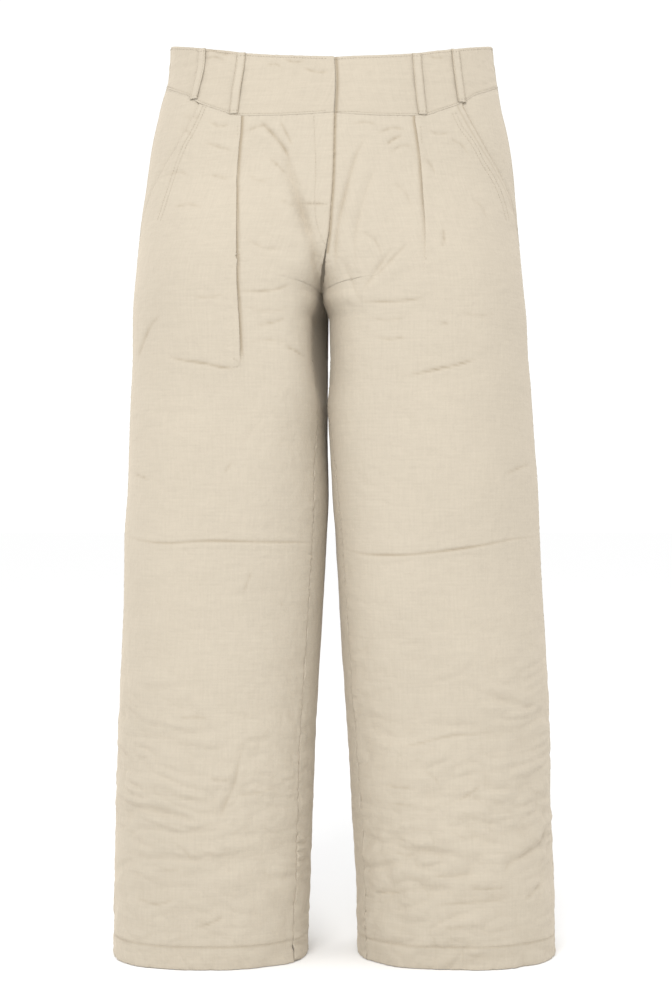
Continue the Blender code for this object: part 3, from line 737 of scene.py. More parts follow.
class Relief:
    """The creases, crumples and soft waves of the cloth, and the shade painted along their bottoms.
    """

    SWAY = (60.0, 10.0)  # size and reach of the bends in the crumples' run, in mm
    PATCH = 70.0  # size of the fuller and calmer patches, in mm
    KNEE, SHIN = -480.0, -750.0  # the crumples grow between these levels, in mm
    ROUNDING, SHARPNESS = 0.16, 0.1  # of the bottom of a crumple and of the line of shade painted along it
    MEAN = 0.4  # share of a crumple's height that lies below the form
    SEAM_HOLD = 0.3  # share of the crumples that is left beside the seams
    FACE_PARTING = 12 * MM  # creases of the front lie ahead of this depth
    WAVE_TOP, WAVE_RUN = -30 * MM, 120 * MM  # the waves grow from this level, over this height
    WAVE_CALM = 0.35  # share of the waves above it

    def height(self, points: Array, places: Array, side: Side,
               facing: Numbers = 1.0) -> tuple[Array, Array]:
        """How far the cloth stands off the form.

        Args:
            points: Points of the form, in metres.
            places: The same points round the cloth from the side seam and by level, in mm.
            side: The half of the garment.
            facing: 1 where the cloth faces forward or back, 0 by the seams, which hold it flat.

        Returns:
            A height for each point, in metres, and its painted shade, 0 to 1.
        """
        front = points[..., 1] < self.FACE_PARTING
        # line gathers the shade painted along the bottoms of crumples and creases
        rise, line = self.crumpled(places, side)
        rise *= self.SEAM_HOLD + (1 - self.SEAM_HOLD) * ease(np.abs(facing) * 1.5)
        for face, its_creases in CREASES.items():
            seen = seen_from(points, behind=face is Face.BACK)
            on_face = front if face is Face.FRONT else ~front
            for crease in its_creases:
                fall, mark = crease_shape(crease, seen)
                rise += np.where(on_face, fall, 0.0)
                line += np.where(on_face, mark, 0.0)
        return rise + self.waves(points), np.clip(line, 0.0, 1.0)

    def crumpled(self, places: Array, side: Side) -> tuple[Array, Array]:
        """Small wrinkles with soft tops and sharp troughs, more of them towards the hems.

        Args:
            places: Points round the cloth and by level, in millimetres.
            side: The half of the garment.

        Returns:
            A height for each point, in metres, and the shade painted in its troughs.
        """
        size, reach = self.SWAY
        sway = [grain(places / size, 50 + side.value + 10 * i) * reach for i in (0, 1)]
        swayed = places + np.stack(sway, axis=-1)
        low = ease((self.KNEE - places[..., 1]) / (self.KNEE - self.SHIN))
        rise, line = np.zeros(places.shape[:-1]), np.zeros(places.shape[:-1])
        for crumple in CRUMPLES:
            across = (swayed[..., 0] + crumple.slant * swayed[..., 1]) / crumple.round
            down = (swayed[..., 1] - crumple.slant * swayed[..., 0]) / crumple.down
            fold = grain(np.stack([across, down], axis=-1), 100 * crumple.seed + side.value)
            patch = ease(0.5 + 0.9 * grain(places / self.PATCH, 31 * crumple.seed + side.value))
            share = (crumple.calm + (1 - crumple.calm) * low) * (0.4 + 0.6 * patch)
            rounded = np.sqrt(fold ** 2 + self.ROUNDING ** 2) - self.MEAN
            rise += rounded * crumple.height * share
            # painted shade along the bottom of each crumple
            line += np.exp(-(fold / self.SHARPNESS) ** 2) * share * crumple.line
        return rise * MM, line

    def waves(self, points: Array) -> Array:
        """Broad soft swells of the hanging cloth, in metres."""
        rise = np.zeros(points.shape[:-1])
        for size, height in WAVES:
            rise += grain(points / (size * MM) * np.array([1.0, 1.0, 0.7]), int(size)) * height * MM
        grown = ease((self.WAVE_TOP - points[..., 2]) / self.WAVE_RUN)
        return rise * (self.WAVE_CALM + (1 - self.WAVE_CALM) * grown)


RELIEF = Relief()


class Row:
    """One line of cloth round the form, measured along its length from the side seam."""

    SAMPLES = 361

    def __init__(self, side: Side, end: float, level_of: LevelOf) -> None:
        """Measure the line.

        Args:
            side: The half of the garment.
            end: The turn at which the line ends.
            level_of: The line's level at each turn.
        """
        self.turns = np.linspace(SIDE_SEAM_TURN, end, self.SAMPLES)
        self.level_of = level_of
        self.points = form(side, self.turns, level_of(self.turns))
        steps = np.linalg.norm(np.diff(self.points, axis=0), axis=1)
        self.lengths = np.concatenate([[0.0], np.cumsum(steps)])

    @property
    def length(self) -> float:
        """The line's whole length."""
        return float(self.lengths[-1])

    def along_at_turn(self, turn: float) -> float:
        """How far along the line a turn lies."""
        if self.turns[-1] < self.turns[0]:
            return float(np.interp(-turn, -self.turns, self.lengths))
        return float(np.interp(turn, self.turns, self.lengths))

    def along_at_reach(self, reach: float) -> float:
        """How far along the line its point at a distance from the middle plane lies."""
        distance = np.abs(self.points[:, 0])
        order = np.argsort(distance)
        return float(np.interp(reach, distance[order], self.lengths[order]))

    def turn_at(self, along: Array) -> Array:
        """The turns at distances along the line."""
        return np.interp(along, self.lengths, self.turns)


@dataclass(frozen=True)
class Line:
    """A line of a panel: its level by turn, its level at the middle, and its depth inside."""

    level_of: LevelOf
    middle_level: float
    inset: float = 0.0

    def level_at(self, turn: float) -> float:
        """The line's level at one turn."""
        return float(self.level_of(np.array([turn]))[0])


@dataclass
class Cloth:
    """The points of a piece before it is thickened.

    turns, levels and rises are arrays of rows by columns; flat holds the cloth's own coordinates
    and lengths how long each row is from seam to seam. ripples and shift are added to the relief
    and to the points, and edges to the shade painted on the points.
    """

    side: Side
    turns: Array
    levels: Array
    rises: Array
    flat: Array
    lengths: Array
    ripples: Numbers = 0.0
    shift: Numbers = 0.0
    edges: Numbers = 0.0

    @property
    def along(self) -> Array:
        """How far each point lies along its row."""
        return np.abs(self.flat[..., 0])

    @property
    def from_end(self) -> Array:
        """How far each point lies from the end of its row."""
        return self.lengths[:, None] - self.along

    def piece(self, name: str, thickness: float, material: Material,
              kept: Array | None = None) -> Object:
        """Make the piece.

        Args:
            name: Its name.
            thickness: Of the cloth.
            material: The finish.
            kept: The rows that the inner face has, if not all.

        Returns:
            The piece.
        """
        kept = np.arange(len(self.levels)) if kept is None else kept
        outer, inner, painted_shade = self.layers(thickness, kept)
        return shell(name, outer, inner, self.flat, material, painted_shade, kept)

    def layers(self, thickness: float, kept: Array
               ) -> tuple[Array, Array, Array]:
        """The outer face in full, and the inner face on some of its rows.

        Args:
            thickness: Of the cloth.
            kept: The rows that the inner face has.

        Returns:
            The points of the outer and of the inner face, and the shade painted on the outer face.
        """
        base = form(self.side, self.turns, self.levels)
        away = outward(self.side, self.turns, self.levels)
        relief, painted_shade = RELIEF.height(base, self.flat / MM, self.side, away[..., 1])
        relief += self.ripples
        outer = base + away * (self.rises + relief)[..., None] + self.shift
        low = relief[kept].copy()
        last = len(relief) - 1
        before = np.concatenate([[kept[0]], kept[:-1]])
        after = np.concatenate([kept[1:], [last]])
        for place, (first, final) in enumerate(zip(before, after)):
            if final - first > 2:
                low[place] = relief[first:final + 1].min(axis=0)
        rise = self.rises[kept] + low - thickness
        inner = base[kept] + away[kept] * rise[..., None]
        inner += self.shift if np.isscalar(self.shift) else self.shift[kept]
        return outer, inner, np.clip(painted_shade + self.edges, 0.0, 1.0)


def gather(side: Side, rows: list[tuple[Row, Array, Array]]) -> Cloth:
    """Put lines together into a piece.

    Args:
        side: The half of the garment.
        rows: For each line: its row, the distances along it and the heights off the form.

    Returns:
        The piece's cloth.
    """
    turns = np.array([row.turn_at(along) for row, along, _ in rows])
    levels = np.array([row.level_of(turn) for (row, _, _), turn in zip(rows, turns)])
    rises = np.array([rise for _, _, rise in rows])
    sense = 1.0 if rows[0][0].turns[-1] > rows[0][0].turns[0] else -1.0
    across = np.array([along for _, along, _ in rows]) * sense
    lengths = np.array([row.length for row, _, _ in rows])
    return Cloth(side, turns, levels, rises, np.stack([across, levels], axis=-1), lengths)


# ---------- meshes
def show(name: str, data: bpy.types.ID) -> Object:
    """Put an object with some data into the scene."""
    made = bpy.data.objects.new(name, data)
    bpy.context.scene.collection.objects.link(made)
    return made


def face_normals(points: Array) -> Array:
    """Directions square to a grid of points."""
    across = np.gradient(points, axis=1)
    down = np.gradient(points, axis=0)
    normal = np.cross(down, across)
    return normal / np.maximum(np.linalg.norm(normal, axis=-1, keepdims=True), 1e-18)


def shell(name: str, outer: Array, inner: Array, flat: Array, material: Material,
          painted_shade: Array | None = None, kept: Array | None = None) -> Object:
    """A thin closed shell between two faces of cloth.

    Args:
        name: The piece's name.
        outer: Rows by columns of points of the outer face.
        inner: The same of the inner face, which may leave out rows.
        flat: The cloth's own coordinates of the outer points, kept as a UV map.
        material: The finish.
        painted_shade: The shade painted on each outer point, in creases and along edges, kept as
            the attribute "fold".
        kept: The outer rows that the inner face has, if not all.

    Returns:
        The piece.
    """
    rows, columns = outer.shape[:2]
    kept = np.arange(rows) if kept is None else kept
    front = np.arange(rows * columns).reshape(rows, columns)
    rear = np.arange(len(kept) * columns).reshape(len(kept), columns) + rows * columns
    faces = grid_faces(front) + [face[::-1] for face in grid_faces(rear)]
    smooth = len(faces)
    for i in range(columns - 1):
        faces.append([front[0, i], front[0, i + 1], rear[0, i + 1], rear[0, i]])
        faces.append([front[-1, i + 1], front[-1, i], rear[-1, i], rear[-1, i + 1]])
    for place in range(len(kept) - 1):
        first, last = kept[place], kept[place + 1]
        faces.append([*front[first:last + 1, 0][::-1], rear[place, 0], rear[place + 1, 0]])
        faces.append([*front[first:last + 1, -1], rear[place + 1, -1], rear[place, -1]])
    if (face_normals(outer)[kept] * (outer[kept] - inner)).sum() < 0:
        faces = [face[::-1] for face in faces]
    vertices = np.concatenate([outer.reshape(-1, 3), inner.reshape(-1, 3)])
    own = np.concatenate([flat.reshape(-1, 2), flat[kept].reshape(-1, 2)])
    mesh = bpy.data.meshes.new(name + "_cloth")
    mesh.from_pydata(vertices.tolist(), [], [list(map(int, face)) for face in faces])
    corners = np.empty(len(mesh.loops), dtype=int)
    mesh.loops.foreach_get("vertex_index", corners)
    mesh.uv_layers.new(name="cloth").data.foreach_set("uv", own[corners].reshape(-1))
    painted_shade_per_point = np.zeros(len(vertices))
    if painted_shade is not None:
        painted_shade_per_point[:rows * columns] = painted_shade.reshape(-1)
    # the attribute "fold" holds the painted shade, which darkens the linen's colour
    mesh.attributes.new("fold", "FLOAT", "POINT").data.foreach_set("value", painted_shade_per_point)
    mesh.polygons.foreach_set("use_smooth", [i < smooth for i in range(len(faces))])
    mesh.materials.append(material)
    return show(name + "_cloth", mesh)


def grid_faces(index: Array) -> list[Array]:
    """The four-sided faces between the points of a grid, given by their numbers."""
    quads = np.stack([index[:-1, :-1], index[1:, :-1], index[1:, 1:], index[:-1, 1:]], axis=-1)
    return list(quads.reshape(-1, 4))


# ---------- finishes
def feed(node: Node, inputs: Inputs) -> None:
    """Give a node's inputs their values, or link them to the outputs of other nodes."""
    for key, value in inputs.items():
        if isinstance(value, NodeSocket):
            node.id_data.links.new(value, node.inputs[key])
        else:
            node.inputs[key].default_value = value


def add_node(tree: NodeTree, kind: str, inputs: Inputs | None = None,
             **settings: str) -> NodeOutputs:
    """Put a node into a tree.

    Args:
        tree: The tree.
        kind: The node's type.
        inputs: What its inputs are given: values, or the outputs of other nodes.
        settings: Its properties by name.

    Returns:
        The node's outputs.
    """
    node = tree.nodes.new(kind)
    for key, value in settings.items():
        setattr(node, key, value)
    feed(node, inputs or {})
    return node.outputs


def new_material(name: str, look: Inputs) -> tuple[Material, Node]:
    """A material and its surface node, whose inputs are given."""
    material = bpy.data.materials.new(name)
    material.use_nodes = True
    surface = material.node_tree.nodes["Principled BSDF"]
    feed(surface, look)
    return material, surface


@dataclass(frozen=True)
class LinenFinish:
    """A plain-woven linen with uneven threads."""

    name: str
    colour: tuple[float, float, float]
    roughness: float = 0.92
    gloss: float = 0.18
    sheen: float = 0.35
    sheen_roughness: float = 0.6
    sheen_tint: tuple[float, float, float, float] = (1.0, 0.88, 0.72, 1.0)
    contrast: float = 0.045
    mottle_range: tuple[float, float] = (1.1, 1.9)
    mottle_scale: float = 9.0
    # the colour that the painted shade darkens the cloth towards
    painted_shade_tone: tuple[float, float, float] = (0.70, 0.65, 0.58)
    thread_scales: tuple[tuple[float, ...], ...] = ((1300.0, 160.0, 1.0), (160.0, 1300.0, 1.0))
    thread_depth: float = 0.14 * MM
    slub_scales: tuple[tuple[float, ...], ...] = ((520.0, 42.0, 1.0), (36.0, 520.0, 1.0))
    slub_depth: float = 0.10 * MM
    crumple_scale: float = 130.0
    crumple_depth: float = 0.9 * MM

    def material(self) -> Material:
        """Build the linen, which reads the cloth's own coordinates and the shade painted on its
        points.

        Returns:
            The material.
        """
        material, surface = new_material(self.name, {
            "Roughness": self.roughness, "Specular IOR Level": self.gloss,
            "Sheen Weight": self.sheen, "Sheen Roughness": self.sheen_roughness,
            "Sheen Tint": self.sheen_tint})
        tree = material.node_tree
        threads = self.woven(tree, self.thread_scales)
        slubs = self.woven(tree, self.slub_scales)
        mottle = self.sum_of(tree, slubs, self.crumple(tree, self.mottle_scale))
        tone = add_node(tree, "ShaderNodeMapRange", {
            "From Min": self.mottle_range[0], "From Max": self.mottle_range[1], "Value": mottle})
        cloth = self.mixed(tree, tone["Result"], self.tinted(*(1 - self.contrast,) * 3),
                           self.tinted(*(1 + self.contrast,) * 3))
        # painted shade: the attribute "fold" darkens the colour towards the tone of painted shade
        fold = add_node(tree, "ShaderNodeAttribute", attribute_name="fold")
        shaded = self.mixed(tree, fold["Fac"], cloth, self.tinted(*self.painted_shade_tone))
        bump = self.bump(tree, threads, self.thread_depth)
        bump = self.bump(tree, slubs, self.slub_depth, bump)
        bump = self.bump(tree, self.crumple(tree, self.crumple_scale), self.crumple_depth, bump)
        feed(surface, {"Base Color": shaded, "Normal": bump})
        return material

    def tinted(self, red: float, green: float, blue: float) -> tuple[float, ...]:
        """The cloth's colour with each part scaled."""
        return (*(part * scale for part, scale in zip(self.colour, (red, green, blue))), 1.0)

    def mixed(self, tree: NodeTree, share: NodeSocket,
              first: object, second: object) -> NodeSocket:
        """One colour that turns into another as a share grows."""
        inputs = {"Factor": share, "A": first, "B": second}
        return add_node(tree, "ShaderNodeMix", inputs, data_type="RGBA")["Result"]

    def woven(self, tree: NodeTree, scales: Sequence[tuple[float, ...]]) -> NodeSocket:
        """Long thin uneven lines both ways of the cloth."""
        return self.sum_of(tree, *(self.threads(tree, scale) for scale in scales))

    def threads(self, tree: NodeTree, scale: tuple[float, ...]) -> NodeSocket:
        """Long thin uneven lines one way of the cloth."""
        cloth = add_node(tree, "ShaderNodeUVMap", uv_map="cloth")
        place = add_node(tree, "ShaderNodeMapping", {"Scale": scale, "Vector": cloth["UV"]})
        return add_node(tree, "ShaderNodeTexNoise", {
            "Scale": 1.0, "Detail": 2.0, "Vector": place["Vector"]})["Fac"]

    def crumple(self, tree: NodeTree, scale: float) -> NodeSocket:
        """Soft unevenness of the cloth."""
        place = add_node(tree, "ShaderNodeTexCoord")
        return add_node(tree, "ShaderNodeTexNoise", {
            "Scale": scale, "Detail": 2.5, "Roughness": 0.5, "Vector": place["Object"]})["Fac"]

    def sum_of(self, tree: NodeTree, first: NodeSocket, second: NodeSocket) -> NodeSocket:
        """Two values added."""
        return add_node(tree, "ShaderNodeMath", {0: first, 1: second}, operation="ADD")["Value"]

    def bump(self, tree: NodeTree, height: NodeSocket, depth: float,
             below: NodeSocket | None = None) -> NodeSocket:
        """A relief too fine for the mesh, on top of another one."""
        inputs = {"Strength": 1.0, "Distance": depth, "Height": height}
        if below is not None:
            inputs["Normal"] = below
        return add_node(tree, "ShaderNodeBump", inputs)["Normal"]


@dataclass(frozen=True)
class ThreadFinish:
    """Sewing thread."""

    name: str
    colour: tuple[float, float, float]

    def material(self) -> Material:
        """Build the thread."""
        return new_material(self.name, {
            "Base Color": (*self.colour, 1.0), "Roughness": 0.7, "Sheen Weight": 0.2})[0]


LINEN = LinenFinish("linen", (0.434, 0.385, 0.310))
THREAD = ThreadFinish("sewing_thread", (0.430, 0.375, 0.290))


# ---------- the legs' panels
PANEL = 0.55 * MM


def flat_level(level: float) -> LevelOf:
    """A level line that stays at one height."""
    return lambda turn: np.full(np.shape(turn), level)


@dataclass
class PanelLines:
    """The lines that every panel and what lies behind it share, from the waist to the hem."""

    yoke_bottom: float = -95 * MM
    yoke_rows: int = 28
    fork_rows: int = 72
    leg_step: float = 2.0 * MM
    knee_step: float = 1.3 * MM
    knee: tuple[float, float] = (-452 * MM, -480 * MM)
    hem_arc_rows: int = 4
    hem_turnup: float = 25 * MM
    hem_turnup_rows: int = 8
    hem_layer: float = 1.0 * MM
    waist_gap: float = 0.02 * MM

    def lines(self, side: Side) -> list[Line]:
        """All the lines of one side, from the waistband's seam to the hem's turned-up edge."""
        return self.yoke() + self.fork(side) + self.leg() + self.hem()

    def yoke(self) -> list[Line]:
        """Lines between the waistband's seam and the top of the fork.

        Returns:
            The lines from the top down.
        """
        lines = []
        for index in range(self.yoke_rows, 0, -1):
            share = index / self.yoke_rows

            def level_of(turn: Array, share: float = share) -> Array:
                """A share of the way up from the fork's top."""
                seam = waist_line(turn, "seam") - self.waist_gap
                return self.yoke_bottom + share * (seam - self.yoke_bottom)
            lines.append(Line(level_of, float(level_of(np.array([90.0]))[0])))
        return lines

    def fork(self, side: Side) -> list[Line]:
        """Lines down to the crotch, which crowd towards its seam.

        Args:
            side: The half of the garment.

        Returns:
            The lines from the top down.
        """
        lines = []
        height = self.yoke_bottom - CROTCH
        for index in range(self.fork_rows, -1, -1):
            share = index / self.fork_rows
            outer_level = CROTCH + height * share
            middle_level = CROTCH + height * share ** 2
            end = middle_turn(side, middle_level)
            back_end = middle_turn(side, middle_level, behind=True)

            def level_of(turn: Array, outer: float = outer_level, middle: float = middle_level,
                         end: float = end, back_end: float = back_end) -> Array:
                """Level at the sides, and bent down to the middle."""
                last = np.where(turn > 0, end, back_end)
                near = ease((np.abs(turn) - FORK_LINE_BEND) / (last - FORK_LINE_BEND))
                return outer + (middle - outer) * near
            lines.append(Line(level_of, middle_level))
        return lines

    def leg(self) -> list[Line]:
        """Level lines down a leg, closer together at the fold across the knee.

        Returns:
            The lines from the crotch down.
        """
        lines = []
        level = CROTCH - self.leg_step
        last = HEM + self.hem_layer / 2 + self.leg_step / 2
        while level > last:
            lines.append(Line(flat_level(level), level))
            at_knee = self.knee[1] < level < self.knee[0]
            level -= self.knee_step if at_knee else self.leg_step
        return lines

    def hem(self) -> list[Line]:
        """The hem's fold and the edge turned up inside it.

        Returns:
            The lines round the fold and up inside.
        """
        lines = []
        radius = self.hem_layer / 2
        for index in range(self.hem_arc_rows + 1):
            angle = math.pi * index / self.hem_arc_rows
            level = HEM + radius * (1 - math.sin(angle))
            lines.append(Line(flat_level(level), level, radius * (1 - math.cos(angle))))
        for index in range(1, self.hem_turnup_rows + 1):
            level = HEM + radius + (self.hem_turnup - radius) * index / self.hem_turnup_rows
            lines.append(Line(flat_level(level), level, self.hem_layer))
        return lines


PANEL_LINES = PanelLines()


def front_outer_turn(line: Line) -> float:
    """Where a line of the front starts: the side seam, or the pocket's slanted edge.

    Args:
        line: The line.

    Returns:
        The turn there.
    """
    turn = SIDE_SEAM_TURN
    for _ in range(POCKET_TRIES):
        level = line.level_at(turn)
        if level <= POCKET_END:
            return SIDE_SEAM_TURN
        turn = float(smooth_lookup(POCKET_EDGE, "level", "turn", level / MM))
    return turn


def front_end_turn(side: Side, level: float) -> float:
    """Where a line of the front ends: the middle seam, or the inseam below the crotch."""
    return middle_turn(side, level) if level > CROTCH else 180 - inseam_turn(side, level)


def pleat_size(side: Side, column: str, level: float) -> float:
    """One size of a front's pleat at a level in metres, as its table gives it."""
    return float(smooth_lookup(PLEATS[side], "level", column, level / MM))


def fly_reach(level: Array) -> Array:
    """How far past the middle the upper front's edge runs at a level, in metres."""
    reach = smooth_lookup(FLY_EDGE, "level", "reach", level / MM) + FLY_LAP
    return np.clip(reach, FLY_LAP_LEAST, None) * MM


def drawn_over(reach: Array, from_edge: Array) -> Array:
    """Shifts to the left that carry the upper front's edge past the middle.

    Args:
        reach: How far the edge of each row is carried.
        from_edge: Distance of each point from the edge.

    Returns:
        A shift for each point.
    """
    sideways = reach[:, None] * ease(1 - from_edge / FLY_DRAW)
    return sideways[..., None] * np.array([1.0, 0.0, 0.0])


def fly_shade(level: Array, from_middle: Array) -> Array:
    """How deep the under cloth lies in shade along the upper front's edge.

    Args:
        level: Of each row, in the middle.
        from_middle: Distance of each point from the middle.

    Returns:
        A share for each point, from 0 to 1.
    """
    return bell(from_middle - fly_reach(level)[:, None] - FLY_SHADE_AWAY, FLY_SHADE_WIDTH)


@dataclass
class LegPanels:
    """The two fronts and the two backs."""

    outer_columns: int = 58
    inner_columns: int = 80
    ramp: float = 12 * MM
    ramp_columns: int = 5
    arc_columns: int = 4
    hidden_columns: int = 2
    pleat_spread: float = 120 * MM
    lap_rise: float = 1.0 * MM
    lap_width: float = 14 * MM
    lap_fade: float = 25 * MM
    lap_shade: float = 0.8
    lap_shade_width: float = 0.9 * MM
    back_columns: int = 124
    pucker_height: float = 0.38 * MM
    edge_roll: float = 0.16 * MM
    inner_step: int = 4
    topstitch: float = 6.5 * MM
    hem_stitch: float = 22 * MM
    hem_shade: float = 0.4
    hem_shade_width: float = 1.2 * MM
    seam_column: float = 0.9 * MM
    seam_reach: float = 6 * MM
    hem_reach: float = 13 * MM
    waist_reach: float = 7 * MM
    roll_width: float = 1.2 * MM
    pitch_down: float = 8.5 * MM
    pitch_at_hem: float = 10 * MM
    pitch_at_waist: float = 7.5 * MM
    pleat_shade: dict[Side, tuple[float, float]] = field(
        default_factory=lambda: {Side.RIGHT: (16, 1.0), Side.LEFT: (75, 0.9)})
    pleat_shade_away: float = 0.9 * MM
    pleat_shade_width: float = 1.9 * MM
    opening_width: float = 1.1 * MM
    opening_fade: float = 12 * MM
    topstitch_shade: float = 0.45
    opening_shade: dict[Side, float] = field(
        default_factory=lambda: {Side.RIGHT: 0.12, Side.LEFT: 0.9})

    def pleat_profile(self, side: Side, level: float) -> tuple[Array, Array]:
        """Places and heights across a pleat.

        Args:
            side: The front that it is in.
            level: The height at which it is cut.

        Returns:
            Distances from its fold edge towards the middle, and heights off the form.
        """
        fold = math.radians(pleat_size(side, "fold", level))
        depth = pleat_size(side, "depth", level) * MM
        height = pleat_size(side, "height", level) * MM
        radius = height / (2 * (1 - math.cos(fold)))
        if level / MM < PLEATS[side][0].level:
            height = radius = depth = 0.0
        turns = fold * np.linspace(0, 1, self.arc_columns + 1)
        first = radius * np.sin(turns)
        first_rise = height / 2 - radius * (1 - np.cos(turns))
        hidden = np.linspace(0, 1, self.hidden_columns + 2)[1:-1]
        run = first[-1] + depth * math.cos(fold)
        drop = -first_rise[-1]
        back_turns = turns[::-1]
        last = run + radius * (math.sin(fold) - np.sin(back_turns))
        last_rise = drop - radius * (np.cos(back_turns) - math.cos(fold))
        places = np.concatenate([first, first[-1] + (last[0] - first[-1]) * hidden, last])
        between = first_rise[-1] + (last_rise[0] - first_rise[-1]) * hidden
        rises = np.concatenate([first_rise, between, last_rise])
        return places, rises

    def front_line(self, side: Side, line: Line) -> tuple[Row, Array, Array]:
        """One line of a front, from its outer edge over the pleat to the middle or the inseam.

        Args:
            side: The front.
            line: The line of the form that it lies on.

        Returns:
            The row, the distances along it and the heights off the form.
        """
        row = Row(side, front_end_turn(side, line.middle_level), line.level_of)
        first = row.along_at_turn(front_outer_turn(line)) + SEAM_GAP / 2
        last = row.length - (0.0 if line.middle_level > CROTCH else SEAM_GAP / 2)
        level = line.level_at(PLEAT_TURN)
        edge = row.along_at_reach(pleat_size(side, "reach", level) * MM)
        profile, heights = self.pleat_profile(side, level)
        ramp = np.linspace(0, 1, self.ramp_columns + 1)[1:]
        outer = self.edged(first, edge - self.ramp, self.outer_columns, at_start=True)
        ramp_in = edge - self.ramp * (1 - ramp)[:-1]
        ramp_out = edge + profile[-1] + self.ramp * ramp
        inner = self.edged(ramp_out[-1], last, self.inner_columns, at_start=False)[1:]
        along = np.concatenate([outer, ramp_in, edge + profile, ramp_out, inner])
        rise = np.concatenate([
            np.zeros(len(outer)), heights[0] * ease(ramp[:-1]), heights,
            heights[-1] * (1 - ease(ramp)), np.zeros(len(inner))])
        pleat_end = PLEATS[side][0].level * MM
        folded = float(ease((level - pleat_end) / self.pleat_spread + 1))
        even = self.edged(first, last, len(along) - 1, at_start=True)
        return row, along * folded + even * (1 - folded), rise

    def edged(self, first: float, last: float, columns: int, at_start: bool) -> Array:
        """Places between two ends, even but for one moved close to the seam at one end.

        Args:
            first: The first place.
            last: The last place.
            columns: How many steps lie between them.
            at_start: True to move the place after the first, not the one before the last.

        Returns:
            The places.
        """
        places = np.linspace(first, last, columns + 1)
        if at_start:
            places[1] = first + self.seam_column
        else:
            places[-2] = last - self.seam_column
        return places

    def seam_relief(self, cloth: Cloth, from_start: Array, seed: int) -> Array:
        """Puckers beside the seams and the roll of the cloth into them.

        Args:
            cloth: The panel.
            from_start: Distance of each point from the edge at which its row starts.
            seed: Fixes the puckers.

        Returns:
            A height for each point, in metres.
        """
        along, level, from_end = cloth.along, cloth.levels, cloth.from_end
        seams_near = bell(from_start, self.seam_reach) * 0.6 + bell(from_end, self.seam_reach)
        hem_near = np.exp(-np.clip(level - HEM, 0, None) / self.hem_reach)
        below_waist = np.clip(waist_line(cloth.turns, "seam") - level, 0, None)
        ripple_down = self.ripple(level, self.pitch_down, seed)
        ripple_round = self.ripple(along + level * 0.8, self.pitch_at_hem, seed + 7)
        gathers = self.ripple(along, self.pitch_at_waist, seed + 13)
        puckers = (ripple_down * seams_near
                   + gathers * np.exp(-below_waist / self.waist_reach) * 0.3
                   + ripple_round * hem_near * 1.3)
        roll = bell(from_start, self.roll_width) + bell(from_end, self.roll_width)
        return puckers * self.pucker_height - roll * self.edge_roll

    @staticmethod
    def ripple(places: Array, pitch: float, seed: int) -> Array:
        """An uneven ripple between about -1 and 1 along a line.

        Args:
            places: Places along the line, in metres.
            pitch: Its usual length.
            seed: Fixes it.

        Returns:
            A value for each place.
        """
        draw = np.random.default_rng(seed)
        total = np.zeros(np.shape(places))
        for share in (0.6, 0.85, 1.0, 1.45):
            phase = draw.uniform(0, 2 * math.pi)
            total += np.sin(places * 2 * math.pi / (pitch * share) + phase) * draw.uniform(0.3, 0.5)
        return total

    def front(self, side: Side) -> Cloth:
        """The cloth of a front.

        Args:
            side: Which front.

        Returns:
            Its cloth.
        """
        rows = []
        lines = PANEL_LINES.lines(side)
        for line in lines:
            row, along, rise = self.front_line(side, line)
            rows.append((row, along, rise - line.inset))
        cloth = gather(side, rows)
        from_start = cloth.along - cloth.along[:, :1]
        cloth.ripples = self.seam_relief(cloth, from_start, 20 + side.value)
        cloth.edges = self.shaded_edges(cloth, lines, from_start) + self.hem_line(cloth)
        middle = np.array([line.middle_level for line in lines])
        if side is Side.RIGHT:
            self.lap(cloth, middle)
        else:
            cloth.edges += fly_shade(middle, cloth.from_end) * (middle > FLY_END)[:, None]
        return cloth

    def hem_line(self, cloth: Cloth) -> Array:
        """The faint shade along the hem's stitching."""
        outside = cloth.rises > -PANEL
        return self.hem_shade * outside * bell(cloth.levels - HEM - self.hem_stitch,
                                                self.hem_shade_width)

    def shaded_edges(self, cloth: Cloth, lines: list[Line], from_start: Array) -> Array:
        """How deep the cloth lies in shade beside the pleat and at the pocket's opening.

        Args:
            cloth: The front.
            lines: Its lines.
            from_start: Distance of each point from its outer edge.

        Returns:
            A share for each point.
        """
        first = self.outer_columns + self.ramp_columns
        last = first + 2 * self.arc_columns + self.hidden_columns + 1
        fold = cloth.along[:, first:first + self.arc_columns + 1].max(axis=1, keepdims=True)
        level = np.array([line.level_at(PLEAT_TURN) for line in lines]) / MM
        reach, depth = self.pleat_shade[cloth.side]
        shade = bell(cloth.along - fold - self.pleat_shade_away, self.pleat_shade_width)
        shade *= ease((level - PLEATS[cloth.side][1].level) / reach)[:, None] * depth
        shade[:, :last] = 0.0
        opening = ease((cloth.levels[:, 0] - POCKET_END) / self.opening_fade)
        stitched = bell(from_start - self.topstitch, self.opening_width)
        near = bell(from_start, self.opening_width) + self.topstitch_shade * stitched
        return shade + near * opening[:, None] * self.opening_shade[cloth.side]

    def lap(self, cloth: Cloth, middle: Array) -> None:
        """Carry the right front over the left one along the fly.

        Args:
            cloth: The right front.
            middle: The level of each of its rows at the middle.
        """
        fade = ease((middle - FLY_END) / self.lap_fade)[:, None]
        from_edge = cloth.from_end
        cloth.rises += self.lap_rise * fade * ease(1 - from_edge / self.lap_width)
        cloth.edges += self.lap_shade * fade * bell(from_edge, self.lap_shade_width)
        reach = np.where(middle > CROTCH, fly_reach(middle), 0.0) * fade[:, 0]
        cloth.shift = drawn_over(reach, from_edge)

